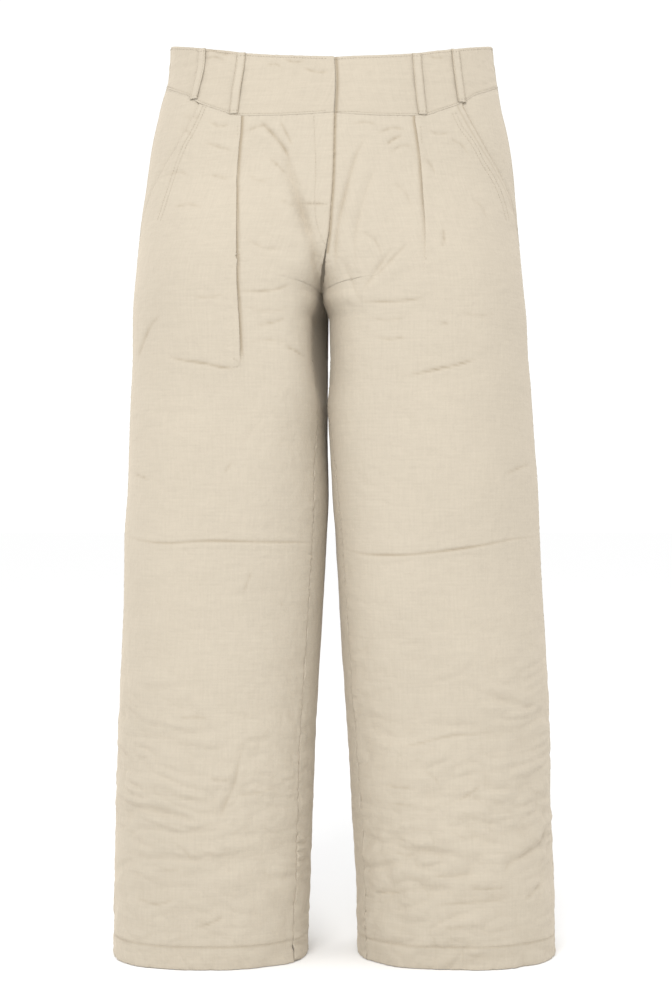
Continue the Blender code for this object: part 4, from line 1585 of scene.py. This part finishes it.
    def back(self, side: Side) -> Cloth:
        """The cloth of a back.

        Args:
            side: Which back.

        Returns:
            Its cloth.
        """
        rows = []
        for line in PANEL_LINES.lines(side):
            end, trim = -middle_turn(side, line.middle_level, behind=True), 0.0
            if line.middle_level <= CROTCH:
                end, trim = -180 - inseam_turn(side, line.middle_level), SEAM_GAP / 2
            row = Row(side, end, line.level_of)
            along = self.edged(SEAM_GAP / 2, row.length - trim, self.back_columns, at_start=True)
            along = np.append(along[:-2], [along[-1] - self.seam_column, along[-1]])
            rows.append((row, along, np.full(len(along), -line.inset)))
        cloth = gather(side, rows)
        cloth.ripples = self.seam_relief(cloth, cloth.along, 40 + side.value)
        cloth.edges = self.hem_line(cloth)
        return cloth

    def build(self, linen: Material) -> Pieces:
        """Build the four panels.

        Args:
            linen: The finish.

        Returns:
            The pieces by name.
        """
        made = {}
        for side in Side:
            for name, cloth in (("front_" + side.word, self.front(side)),
                                ("back_" + side.word, self.back(side))):
                made[name] = cloth.piece(name, PANEL, linen, self.inner_rows(cloth))
        return made

    def inner_rows(self, cloth: Cloth) -> Array:
        """The rows that a panel's inner face has: one in a few, and all of them at the hem."""
        rows = np.arange(len(cloth.levels))
        at_hem = cloth.levels[:, -1] < HEM + PANEL_LINES.hem_turnup + 2 * MM
        return rows[at_hem | (rows % self.inner_step == 0)]


# ---------- what lies behind the fronts
@dataclass
class Openings:
    """The pockets, with the side pieces that show in their openings, and the fly shield."""

    panels: LegPanels
    depth: float = 1.5 * MM
    setback: float = 4 * MM
    side_ease: float = 9 * MM
    pocket_columns: int = 46
    row_step: int = 2
    shield_end: float = -168 * MM
    shield_reach: float = 19 * MM
    shield_gap: float = 0.2 * MM
    shield_columns: int = 8

    def pocket(self, side: Side) -> Cloth:
        """The side piece and the pocket bag behind a front.

        Args:
            side: Which pocket.

        Returns:
            Its cloth.
        """
        rows = []
        lines = PANEL_LINES.lines(side)
        kept = [line for line in lines if line.middle_level >= POCKET_BAG_END and not line.inset]
        for line in kept[::self.row_step]:
            row, along, _ = self.panels.front_line(side, line)
            level = line.level_at(PLEAT_TURN)
            reach = pleat_size(side, "reach", level) * MM
            fold = pleat_size(side, "depth", level) * MM
            shown = along[0]
            last = row.along_at_reach(reach) - fold - self.setback
            hidden = shown < self.setback
            first = self.setback if hidden else SEAM_GAP / 2
            places = np.linspace(first, last, self.pocket_columns + 1)
            under = ease((places - shown) / self.side_ease + 1)
            rows.append((row, places, -self.depth * under))
        return gather(side, rows)

    def shield(self) -> tuple[Array, Array]:
        """The layer behind the fly, across the middle.

        Returns:
            Its points and the cloth's own coordinates.
        """
        halves = []
        for side in Side:
            rows = []
            kept = [line for line in PANEL_LINES.lines(side) if line.middle_level > self.shield_end]
            for line in kept[::self.row_step]:
                row = Row(side, front_end_turn(side, line.middle_level), line.level_of)
                last = row.length - self.shield_gap
                places = np.linspace(last - self.shield_reach, last, self.shield_columns + 1)
                rows.append((row, places, np.full(len(places), -self.depth)))
            halves.append(gather(side, rows))
        right, left = halves
        rows = np.arange(len(right.levels))
        outers = [half.layers(PANEL, rows)[0] for half in halves]
        points = np.concatenate([outers[0], outers[1][:, ::-1]], axis=1)
        flat = np.concatenate([right.flat, left.flat[:, ::-1]], axis=1)
        return points, flat

    def build(self, linen: Material) -> Pieces:
        """Build the pockets and the shield.

        Args:
            linen: The finish of what shows inside.

        Returns:
            The pieces by name.
        """
        made = {}
        for side in Side:
            name = "pocket_" + side.word
            made[name] = self.pocket(side).piece(name, PANEL, linen)
        outer, flat = self.shield()
        inner = outer - face_normals(outer) * PANEL
        made["fly_shield"] = shell("fly_shield", outer, inner, flat, linen)
        return made


# ---------- the waistband
@dataclass
class Waistband:
    """The shaped waistband: two fronts, which close in the middle, and a back."""

    thickness: float = 1.0 * MM
    rows: int = 38
    front_columns: int = 140
    back_columns: int = 84
    tab: float = 36 * MM
    tab_columns: int = 10
    tab_drop: float = 2.0 * MM
    lap_width: float = 20 * MM
    edge_roll: float = 0.14 * MM
    pucker_height: float = 0.6 * MM
    pucker_pitch: float = 8.2 * MM
    fine_pitch: float = 14 * MM
    edge_rows: float = 0.6
    shade: float = 0.06

    def level_line(self, share: float) -> LevelOf:
        """A line of the band: 0 at its seam, 1 at its top edge."""
        def level_of(turn: Array) -> Array:
            """A share of the way up from the seam."""
            seam = waist_line(turn, "seam") + PANEL_LINES.waist_gap
            return seam + share * (waist_line(turn, "top") - seam)
        return level_of

    def half(self, side: Side, end: float, columns: int, tab: float = 0.0) -> Cloth:
        """One side of the band.

        Args:
            side: The half of the garment.
            end: The turn at which the piece ends.
            columns: Steps along it.
            tab: Length of the underlap past the middle.

        Returns:
            Its cloth.
        """
        shares = np.linspace(0, 1, self.rows + 1)
        shares[1], shares[-2] = self.edge_rows * shares[1], 1 - self.edge_rows * shares[1]
        rows = []
        for share in shares:
            row = Row(side, end, self.level_line(float(share)))
            along = np.linspace(SEAM_GAP / 2, row.length - SEAM_GAP / 2, columns + 1)
            rows.append((row, along, np.zeros(columns + 1)))
        cloth = gather(side, rows)
        top_near = (waist_line(cloth.turns, "top") - cloth.levels) / MM
        foot_near = (cloth.levels - waist_line(cloth.turns, "seam")) / MM
        along = cloth.along
        seed = abs(60 + side.value + int(end))
        ripple = LegPanels.ripple(along, self.pucker_pitch, seed)
        strength = 0.35 + 0.65 * ease((np.sin(along * 23 + side.value) + 1) / 2)
        puckers = ripple * (np.exp(-top_near / 4.5) + np.exp(-foot_near / 4.0) * 0.2) * strength
        fine = LegPanels.ripple(cloth.levels + along * 0.05, self.fine_pitch, seed + 3) * 0.25
        cloth.ripples = (puckers + fine) * self.pucker_height - bell(top_near, 0.9) * self.edge_roll
        # painted shade: an even darkening of the band, and more in the troughs of its puckers
        cloth.edges = self.shade + 0.5 * ease(-puckers - 0.2)
        if tab:
            cloth.rises -= self.tab_drop * ease(1 - cloth.from_end / self.lap_width)
        return cloth

    @staticmethod
    def joined(right: Array, left: Array) -> Array:
        """One piece's columns from the right side seam through the middle to the left one."""
        return np.concatenate([right[:, :-1], left[:, -2::-1]], axis=1)

    def with_tab(self, cloth: Cloth) -> tuple[Array, Array, Array]:
        """Carry the left front on under the right one.

        Args:
            cloth: The left front of the band.

        Returns:
            The points of its outer face, the cloth's own coordinates and the shade painted on it.
        """
        flat = cloth.flat
        points, _, painted_shade = cloth.layers(self.thickness, np.arange(len(flat)))
        painted_shade = np.maximum(painted_shade, fly_shade(cloth.levels[:, -1], flat[:, -1:, 0] - flat[..., 0]))
        other = Side(-cloth.side.value)
        steps = np.linspace(0, self.tab, self.tab_columns + 1)[1:]
        more, more_flat = [], []
        for index in range(points.shape[0]):
            row = Row(other, 90.0, self.level_line(index / self.rows))
            places = np.array([row.along_at_reach(step) for step in steps])
            turns = row.turn_at(places)
            levels = row.level_of(turns)
            base = form(other, turns, levels)
            flat_row = np.stack([places, levels], axis=-1)
            rise = RELIEF.height(base, flat_row / MM, other)[0] - self.tab_drop
            more.append(base + outward(other, turns, levels) * rise[:, None])
            more_flat.append(flat[index, -1] + np.stack([steps, np.zeros(len(steps))], axis=-1))
        points = np.concatenate([points, np.array(more)], axis=1)
        painted_shade = np.pad(painted_shade, ((0, 0), (0, self.tab_columns)))
        return points, np.concatenate([flat, np.array(more_flat)], axis=1), painted_shade

    def build(self, linen: Material) -> Pieces:
        """Build the three pieces.

        Args:
            linen: The finish.

        Returns:
            The pieces by name.
        """
        right = self.half(Side.RIGHT, 90.0, self.front_columns)
        from_edge = right.flat[:, -1:, 0] - right.flat[..., 0]
        right.shift = drawn_over(fly_reach(right.levels[:, -1]), from_edge)
        made = {"waistband_right": right.piece("waistband_right", self.thickness, linen)}
        left = self.half(Side.LEFT, 90.0, self.front_columns, self.tab)
        outer, flat, painted_shade = self.with_tab(left)
        inner = outer - face_normals(outer) * self.thickness
        made["waistband_left"] = shell("waistband_left", outer, inner, flat, linen, painted_shade)
        halves = [self.half(side, -90.0, self.back_columns) for side in Side]
        layers = [half.layers(self.thickness, np.arange(self.rows + 1)) for half in halves]
        outer, inner, painted_shade = (self.joined(*faces) for faces in zip(*layers))
        whole = halves[0].flat[:, -2:-1, 0] + halves[1].flat[:, -2:-1, 0]
        flat = self.joined(*(half.flat for half in halves))
        of_left = np.s_[:, halves[0].flat.shape[1] - 1:, 0]
        flat[of_left] = whole - flat[of_left]
        made["waistband_back"] = shell("waistband_back", outer, inner, flat, linen, painted_shade)
        return made


# ---------- belt loops
@dataclass(frozen=True)
class LoopPlace:
    """Where a belt loop sits: its name, side, turn from the side seam's line and edges' shade."""

    name: str
    side: Side
    turn: float
    shade: float = 0.8

    def line(self, top_drop: float, foot_rise: float, count: int
             ) -> tuple[Array, Array, Array, Array]:
        """Even places down the middle of the loop.

        Args:
            top_drop: How far the first lies below the waistband's top.
            foot_rise: How far the last lies above its seam.
            count: How many.

        Returns:
            Their levels, the points of the form, and the directions out of it and along it.
        """
        top = float(waist_line(self.turn, "top")) - top_drop
        foot = float(waist_line(self.turn, "seam")) + foot_rise
        levels, turns = np.linspace(top, foot, count), np.full(count, self.turn)
        away = outward(self.side, turns, levels)
        return levels, form(self.side, turns, levels), away, level_sideways(away)


@dataclass
class BeltLoops:
    """Narrow strips that stand off the waistband between their ends."""

    width: float = 9 * MM
    thickness: float = 0.7 * MM
    seat: float = 1.15 * MM
    standoff: float = 0.5 * MM
    top_drop: float = 0.5 * MM
    overhang: float = 1.0 * MM
    crown: float = 0.25 * MM
    rows: int = 40
    columns: int = 8
    places: tuple[LoopPlace, ...] = (
        LoopPlace("belt_loop_front_right_inner", Side.RIGHT, 61.2),
        LoopPlace("belt_loop_front_right_outer", Side.RIGHT, 42.0, 0.15),
        LoopPlace("belt_loop_front_left_inner", Side.LEFT, 63.3),
        LoopPlace("belt_loop_front_left_outer", Side.LEFT, 45.5),
        LoopPlace("belt_loop_back_right", Side.RIGHT, -48.0),
        LoopPlace("belt_loop_back_left", Side.LEFT, -48.0),
        LoopPlace("belt_loop_back_middle", Side.LEFT, -90.0),
    )

    def strip(self, place: LoopPlace) -> tuple[Array, Array]:
        """One loop.

        Args:
            place: Where it sits.

        Returns:
            The points of its outer face and the cloth's own coordinates.
        """
        draw = np.random.default_rng(sum(map(ord, place.name)))
        sway = draw.uniform(-0.5, 0.5) * MM
        shares = np.linspace(0, 1, self.rows + 1)
        levels, base, normal, sideways = place.line(self.top_drop, self.overhang, len(shares))
        flat = np.stack([np.zeros(len(levels)), levels], axis=-1)
        across = np.linspace(-0.5, 0.5, self.columns + 1)
        stand = self.seat + self.standoff * np.sin(math.pi * shares) ** 0.7
        rise = stand + RELIEF.height(base, flat / MM, place.side)[0]
        crown = self.crown * (1 - (2 * across) ** 4)
        middle = base + normal * rise[:, None]
        middle += sideways * (sway * np.sin(math.pi * shares * 1.3))[:, None]
        points = (middle[:, None] + sideways[:, None] * (across * self.width)[None, :, None]
                  + normal[:, None] * crown[None, :, None])
        wide = np.broadcast_to(across * self.width, points.shape[:2])
        high = np.broadcast_to(levels[:, None], points.shape[:2])
        return points, np.stack([wide, high], axis=-1)

    def build(self, linen: Material) -> Pieces:
        """Build the loops.

        Args:
            linen: The finish.

        Returns:
            The pieces by name.
        """
        made = {}
        for place in self.places:
            outer, flat = self.strip(place)
            inner = outer + face_normals(outer) * self.thickness
            # painted shade along both long edges of each loop
            painted_shade = np.zeros(flat.shape[:2])
            painted_shade[:, [0, -1]] = place.shade
            made[place.name] = shell(place.name, outer, inner, flat, linen, painted_shade)
        return made


# ---------- stitching
@dataclass(frozen=True)
class Seam:
    """A line of stitches on some pieces, in seen millimetres."""

    points: tuple[tuple[float, float], ...]
    pieces: tuple[str, ...]


RIGHT_FRONT, LEFT_FRONT = ("front_right",), ("front_left",)
FRONTS = RIGHT_FRONT + LEFT_FRONT
SEAMS = (
    # the fly: its curved stitching and the bar at its end
    Seam(((-17, -37), (-16, -60), (-15, -90), (-16, -125), (-14, -143), (-8, -160),
          (-4, -168)), FRONTS),
    Seam(((-28, -123), (-16, -123), (-5, -124)), FRONTS),
    # the crotch seam, sewn twice
    Seam(((-5, -174), (-9, -184), (-14, -192)), FRONTS),
    Seam(((-9, -172), (-13, -182), (-18, -190)), FRONTS),
    # the pleats, sewn down at the top and caught at the end
    Seam(((-93, -46), (-93, -54)), RIGHT_FRONT),
    Seam(((-97, -279), (-93, -281), (-92, -286), (-97, -287)), RIGHT_FRONT),
    Seam(((90, -47), (91, -62)), LEFT_FRONT),
    # the pocket openings, sewn twice
    Seam(((125, -33), (131, -45), (144, -63), (154, -82), (165, -100), (173, -119),
          (178, -138)), LEFT_FRONT),
    Seam(((122, -34), (128, -47), (141, -65), (151, -84), (162, -102), (170, -121),
          (175, -139)), LEFT_FRONT),
    Seam(((-128, -26), (-139, -50), (-146, -62), (-163, -108), (-173, -139)), RIGHT_FRONT),
    Seam(((-125, -27), (-136, -51), (-143, -63), (-160, -109), (-170, -140)), RIGHT_FRONT),
)


@dataclass
class Stitching:
    """Sewing thread laid along the seams of some pieces by a small tree of nodes."""

    pieces: Pieces
    pitch: float = 2.7 * MM
    length: float = 2.0 * MM
    radius: float = 0.2 * MM
    lift: float = 0.05 * MM
    drop: float = 20 * MM
    band_inset: float = 2.2 * MM
    band_points: int = 220
    hem_inset: float = 2.5 * MM
    hem_points: int = 500
    loop_top: float = 2.0 * MM
    loop_foot: float = 2.5 * MM
    loop_reach: float = 3.2 * MM
    loop_points: int = 40
    bar_reach: float = 3.4 * MM
    bar_points: int = 12
    trees: dict[tuple[str, ...], BVHTree] = field(default_factory=dict)

    def surface(self, names: tuple[str, ...]) -> BVHTree:
        """A searchable copy of some pieces' surfaces.

        Args:
            names: Which pieces.

        Returns:
            Their surfaces together.
        """
        if names not in self.trees:
            vertices, polygons, start = [], [], 0
            for name in names:
                mesh = self.pieces[name].data
                places = np.empty(len(mesh.vertices) * 3)
                mesh.vertices.foreach_get("co", places)
                vertices.extend(map(tuple, places.reshape(-1, 3)))
                polygons.extend([[start + v for v in p.vertices] for p in mesh.polygons])
                start += len(mesh.vertices)
            self.trees[names] = BVHTree.FromPolygons(vertices, polygons)
        return self.trees[names]

    def seen(self, seam: Seam) -> Array:
        """The points of a seam given as seen, on the pieces' surface.

        Args:
            seam: The seam.

        Returns:
            Its points, just off the cloth.
        """
        tree = self.surface(seam.pieces)
        eye = Vector((0.0, -EYE_DISTANCE, EYE_LEVEL))
        found = []
        for x, level in smooth_path(seam.points, lambda length: max(2, int(length)))[0]:
            aim = Vector((x * MM, 0.0, level * MM)) - eye
            place, normal, _, _ = tree.ray_cast(eye, aim.normalized())
            if place is not None:
                found.append(place + normal * (self.radius + self.lift))
        return np.array(found)

    def round(self, names: tuple[str, ...], side: Side, turns: Array, levels: Array) -> Array:
        """Points on the surface at turns and levels of the form."""
        base, away = form(side, turns, levels), outward(side, turns, levels)
        return self.onto(self.surface(names), base, away)

    def node_tree(self, thread: Material) -> tuple[NodeTree, dict[str, str]]:
        """The tree that sets stitches along curves.

        Args:
            thread: The finish.

        Returns:
            The tree, and the identifiers of its inputs by name.
        """
        tree = bpy.data.node_groups.new("stitches", "GeometryNodeTree")
        face = tree.interface
        face.new_socket("Geometry", in_out="INPUT", socket_type="NodeSocketGeometry")
        ids = {name: face.new_socket(name, in_out="INPUT", socket_type="NodeSocketFloat").identifier
               for name in ("pitch", "length", "radius")}
        face.new_socket("Geometry", in_out="OUTPUT", socket_type="NodeSocketGeometry")
        given = add_node(tree, "NodeGroupInput")
        curve = add_node(tree, "GeometryNodeMeshToCurve", {"Mesh": given["Geometry"]})
        even = add_node(tree, "GeometryNodeCurveToPoints",
                        {"Curve": curve["Curve"], "Length": given["pitch"]}, mode="LENGTH")
        ball = add_node(tree, "GeometryNodeMeshUVSphere",
                        {"Segments": 6, "Rings": 4, "Radius": given["radius"]})
        ratio = add_node(tree, "ShaderNodeMath",
                         {0: given["length"], 1: given["radius"]}, operation="DIVIDE")
        half = add_node(tree, "ShaderNodeMath", {0: ratio["Value"], 1: 0.5}, operation="MULTIPLY")
        scale = add_node(tree, "ShaderNodeCombineXYZ", {"X": 1.0, "Y": 1.0, "Z": half["Value"]})
        placed = add_node(tree, "GeometryNodeInstanceOnPoints", {
            "Points": even["Points"], "Rotation": even["Rotation"], "Instance": ball["Mesh"],
            "Scale": scale["Vector"]})
        real = add_node(tree, "GeometryNodeRealizeInstances", {"Geometry": placed["Instances"]})
        smooth = add_node(tree, "GeometryNodeSetShadeSmooth", {"Geometry": real["Geometry"]})
        whole = add_node(tree, "GeometryNodeSetMaterial",
                         {"Geometry": smooth["Geometry"], "Material": thread})
        add_node(tree, "NodeGroupOutput", {"Geometry": whole["Geometry"]})
        return tree, ids

    def sew(self, name: str, paths: list[Array], tree: NodeTree,
            ids: dict[str, str]) -> Object:
        """Make the stitches along some paths.

        Args:
            name: The piece's name.
            paths: The points of each line of stitches.
            tree: The node tree.
            ids: Its inputs' identifiers.

        Returns:
            The piece.
        """
        points, edges = [], []
        for path in paths:
            start = len(points)
            points.extend(map(tuple, path))
            edges.extend((start + i, start + i + 1) for i in range(len(path) - 1))
        mesh = bpy.data.meshes.new(name + "_paths")
        mesh.from_pydata(points, edges, [])
        piece = show(name, mesh)
        nodes = piece.modifiers.new("stitches", "NODES")
        nodes.node_group = tree
        for key in ids:
            nodes[ids[key]] = getattr(self, key)
        depsgraph = bpy.context.evaluated_depsgraph_get()
        whole = bpy.data.meshes.new_from_object(piece.evaluated_get(depsgraph))
        piece.modifiers.clear()
        piece.data = whole
        whole.name = name
        bpy.data.meshes.remove(mesh)
        return piece

    def build(self, thread: Material) -> Pieces:
        """Sew every visible line.

        Args:
            thread: The finish.

        Returns:
            The stitching by name.
        """
        tree, ids = self.node_tree(thread)
        paths = {
            "stitching_fronts": [self.seen(seam) for seam in SEAMS],
            "stitching_waistband": self.band_paths(),
            "stitching_hems": self.hem_paths(),
            "stitching_loops": self.loop_paths(),
        }
        made = {name: self.sew(name, lines, tree, ids) for name, lines in paths.items()}
        bpy.data.node_groups.remove(tree)
        return made

    def band_paths(self) -> list[Array]:
        """Stitches along the waistband's top edge and its seam.

        Returns:
            The points of each line of stitches.
        """
        paths = []
        for side in Side:
            for name, first, last in (("waistband_" + side.word, SIDE_SEAM_TURN + 0.5, 89.0),
                                      ("waistband_back", SIDE_SEAM_TURN - 0.5, -90.0)):
                turns = np.linspace(first, last, self.band_points)
                for levels in (waist_line(turns, "top") - self.band_inset,
                               waist_line(turns, "seam") + self.band_inset):
                    paths.append(self.round((name,), side, turns, levels))
        return paths

    def hem_paths(self) -> list[Array]:
        """Stitches round both hems.

        Returns:
            The points of each line of stitches.
        """
        paths = []
        level = HEM + PANEL_LINES.hem_turnup - self.hem_inset
        for side in Side:
            turns = np.linspace(0, 360, self.hem_points) - 180 - inseam_turn(side, HEM)
            names = ("front_" + side.word, "back_" + side.word)
            paths.append(self.round(names, side, turns, np.full(len(turns), level)))
        return paths

    def loop_paths(self) -> list[Array]:
        """Two lines of stitches down each loop and a bar across each end.

        Returns:
            The points of each line of stitches.
        """
        paths = []
        for place in BeltLoops().places:
            _, base, away, sideways = place.line(self.loop_top, self.loop_foot, self.loop_points)
            tree = self.surface((place.name,))
            for reach in (-self.loop_reach, self.loop_reach):
                paths.append(self.onto(tree, base + sideways * reach, away))
            for index in (1, -2):
                spread = np.linspace(-self.bar_reach, self.bar_reach, self.bar_points)[:, None]
                starts = base[index] + sideways[index] * spread
                paths.append(self.onto(tree, starts, np.tile(away[index], (len(starts), 1))))
        return paths

    def onto(self, tree: BVHTree, starts: Array, away: Array) -> Array:
        """Points dropped from outside onto a surface.

        Args:
            tree: The surface.
            starts: Points near it.
            away: The way out of it at each.

        Returns:
            Points just off the surface, without those that miss it.
        """
        found = []
        for start, direction in zip(starts + away * self.drop, -away):
            place, normal, _, _ = tree.ray_cast(Vector(start), Vector(direction), 2 * self.drop)
            if place is not None:
                found.append(place + normal * (self.radius + self.lift))
        return np.array(found)


# ---------- the studio
@dataclass
class Studio:
    """A pale floor, soft light and the camera."""

    floor_size: float = 60.0
    floor_drop: float = 0.5 * MM
    floor_tone: float = 0.92
    surround: float = 1.08
    key_power: float = 84.0
    key_size: float = 1.5
    key_place: tuple[float, float, float] = (-0.45, -3.0, 1.8)
    key_aim: tuple[float, float, float] = (0.0, 0.0, -0.4)

    def floor(self) -> None:
        """The floor that the hems hang just above."""
        half = self.floor_size / 2
        level = HEM - self.floor_drop
        corners = [(x * half, y * half, level) for x, y in ((-1, -1), (1, -1), (1, 1), (-1, 1))]
        mesh = bpy.data.meshes.new("floor")
        mesh.from_pydata(corners, [], [(0, 1, 2, 3)])
        material, _ = new_material("floor", {
            "Base Color": (self.floor_tone,) * 3 + (1.0,), "Roughness": 1.0,
            "Specular IOR Level": 0.0})
        mesh.materials.append(material)
        show("floor", mesh)

    def light(self) -> None:
        """The surround and one broad light."""
        world = bpy.data.worlds.new("surround")
        bpy.context.scene.world = world
        world.use_nodes = True
        feed(world.node_tree.nodes["Background"],
             {"Color": (1.0, 1.0, 1.0, 1.0), "Strength": self.surround})
        key = bpy.data.lights.new("key", "AREA")
        key.shape = "SQUARE"
        key.size = self.key_size
        key.energy = self.key_power
        lamp = show("key", key)
        lamp.location = self.key_place
        aim = Vector(self.key_aim) - lamp.location
        lamp.rotation_euler = aim.to_track_quat("-Z", "Y").to_euler()

    def camera(self) -> None:
        """The camera, level and square to the front."""
        lens = bpy.data.cameras.new("camera")
        lens.sensor_width = SENSOR
        lens.lens = SENSOR * EYE_DISTANCE / PICTURE_HEIGHT
        eye = show("camera", lens)
        eye.location = (EYE_SHIFT, -EYE_DISTANCE, EYE_LEVEL)
        eye.rotation_euler = (math.radians(90), 0.0, 0.0)
        bpy.context.scene.camera = eye

    def build(self) -> None:
        """Set the scene."""
        self.floor()
        self.light()
        self.camera()
        bpy.context.scene.view_settings.view_transform = "Standard"


@dataclass(frozen=True)
class FlatSize:
    """A sheet's cut: its width, length and area, in metres."""

    width: float
    length: float
    area: float


def declare(pieces: Pieces) -> None:
    """Attach each cloth piece to the body's root and hide the part of the model that it replaces.

    Args:
        pieces: The cloth pieces by name.
    """
    for name, piece in pieces.items():
        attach(piece, "root")
        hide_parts(name)


def main() -> None:
    """Build the trousers and the studio round them."""
    linen, thread = LINEN.material(), THREAD.material()
    panels = LegPanels()
    pieces = panels.build(linen)
    for maker in (Openings(panels), Waistband(), BeltLoops()):
        pieces.update(maker.build(linen))
    declare(pieces)
    sewing = Stitching(pieces).build(thread)
    for piece in sewing.values():
        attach(piece, "root")
    for name, piece in (pieces | sewing).items():
        log.info("%s: %d faces", name, len(piece.data.polygons))
    Studio().build()


if __name__ == "__main__":
    logging.basicConfig(level=logging.INFO)
    main()
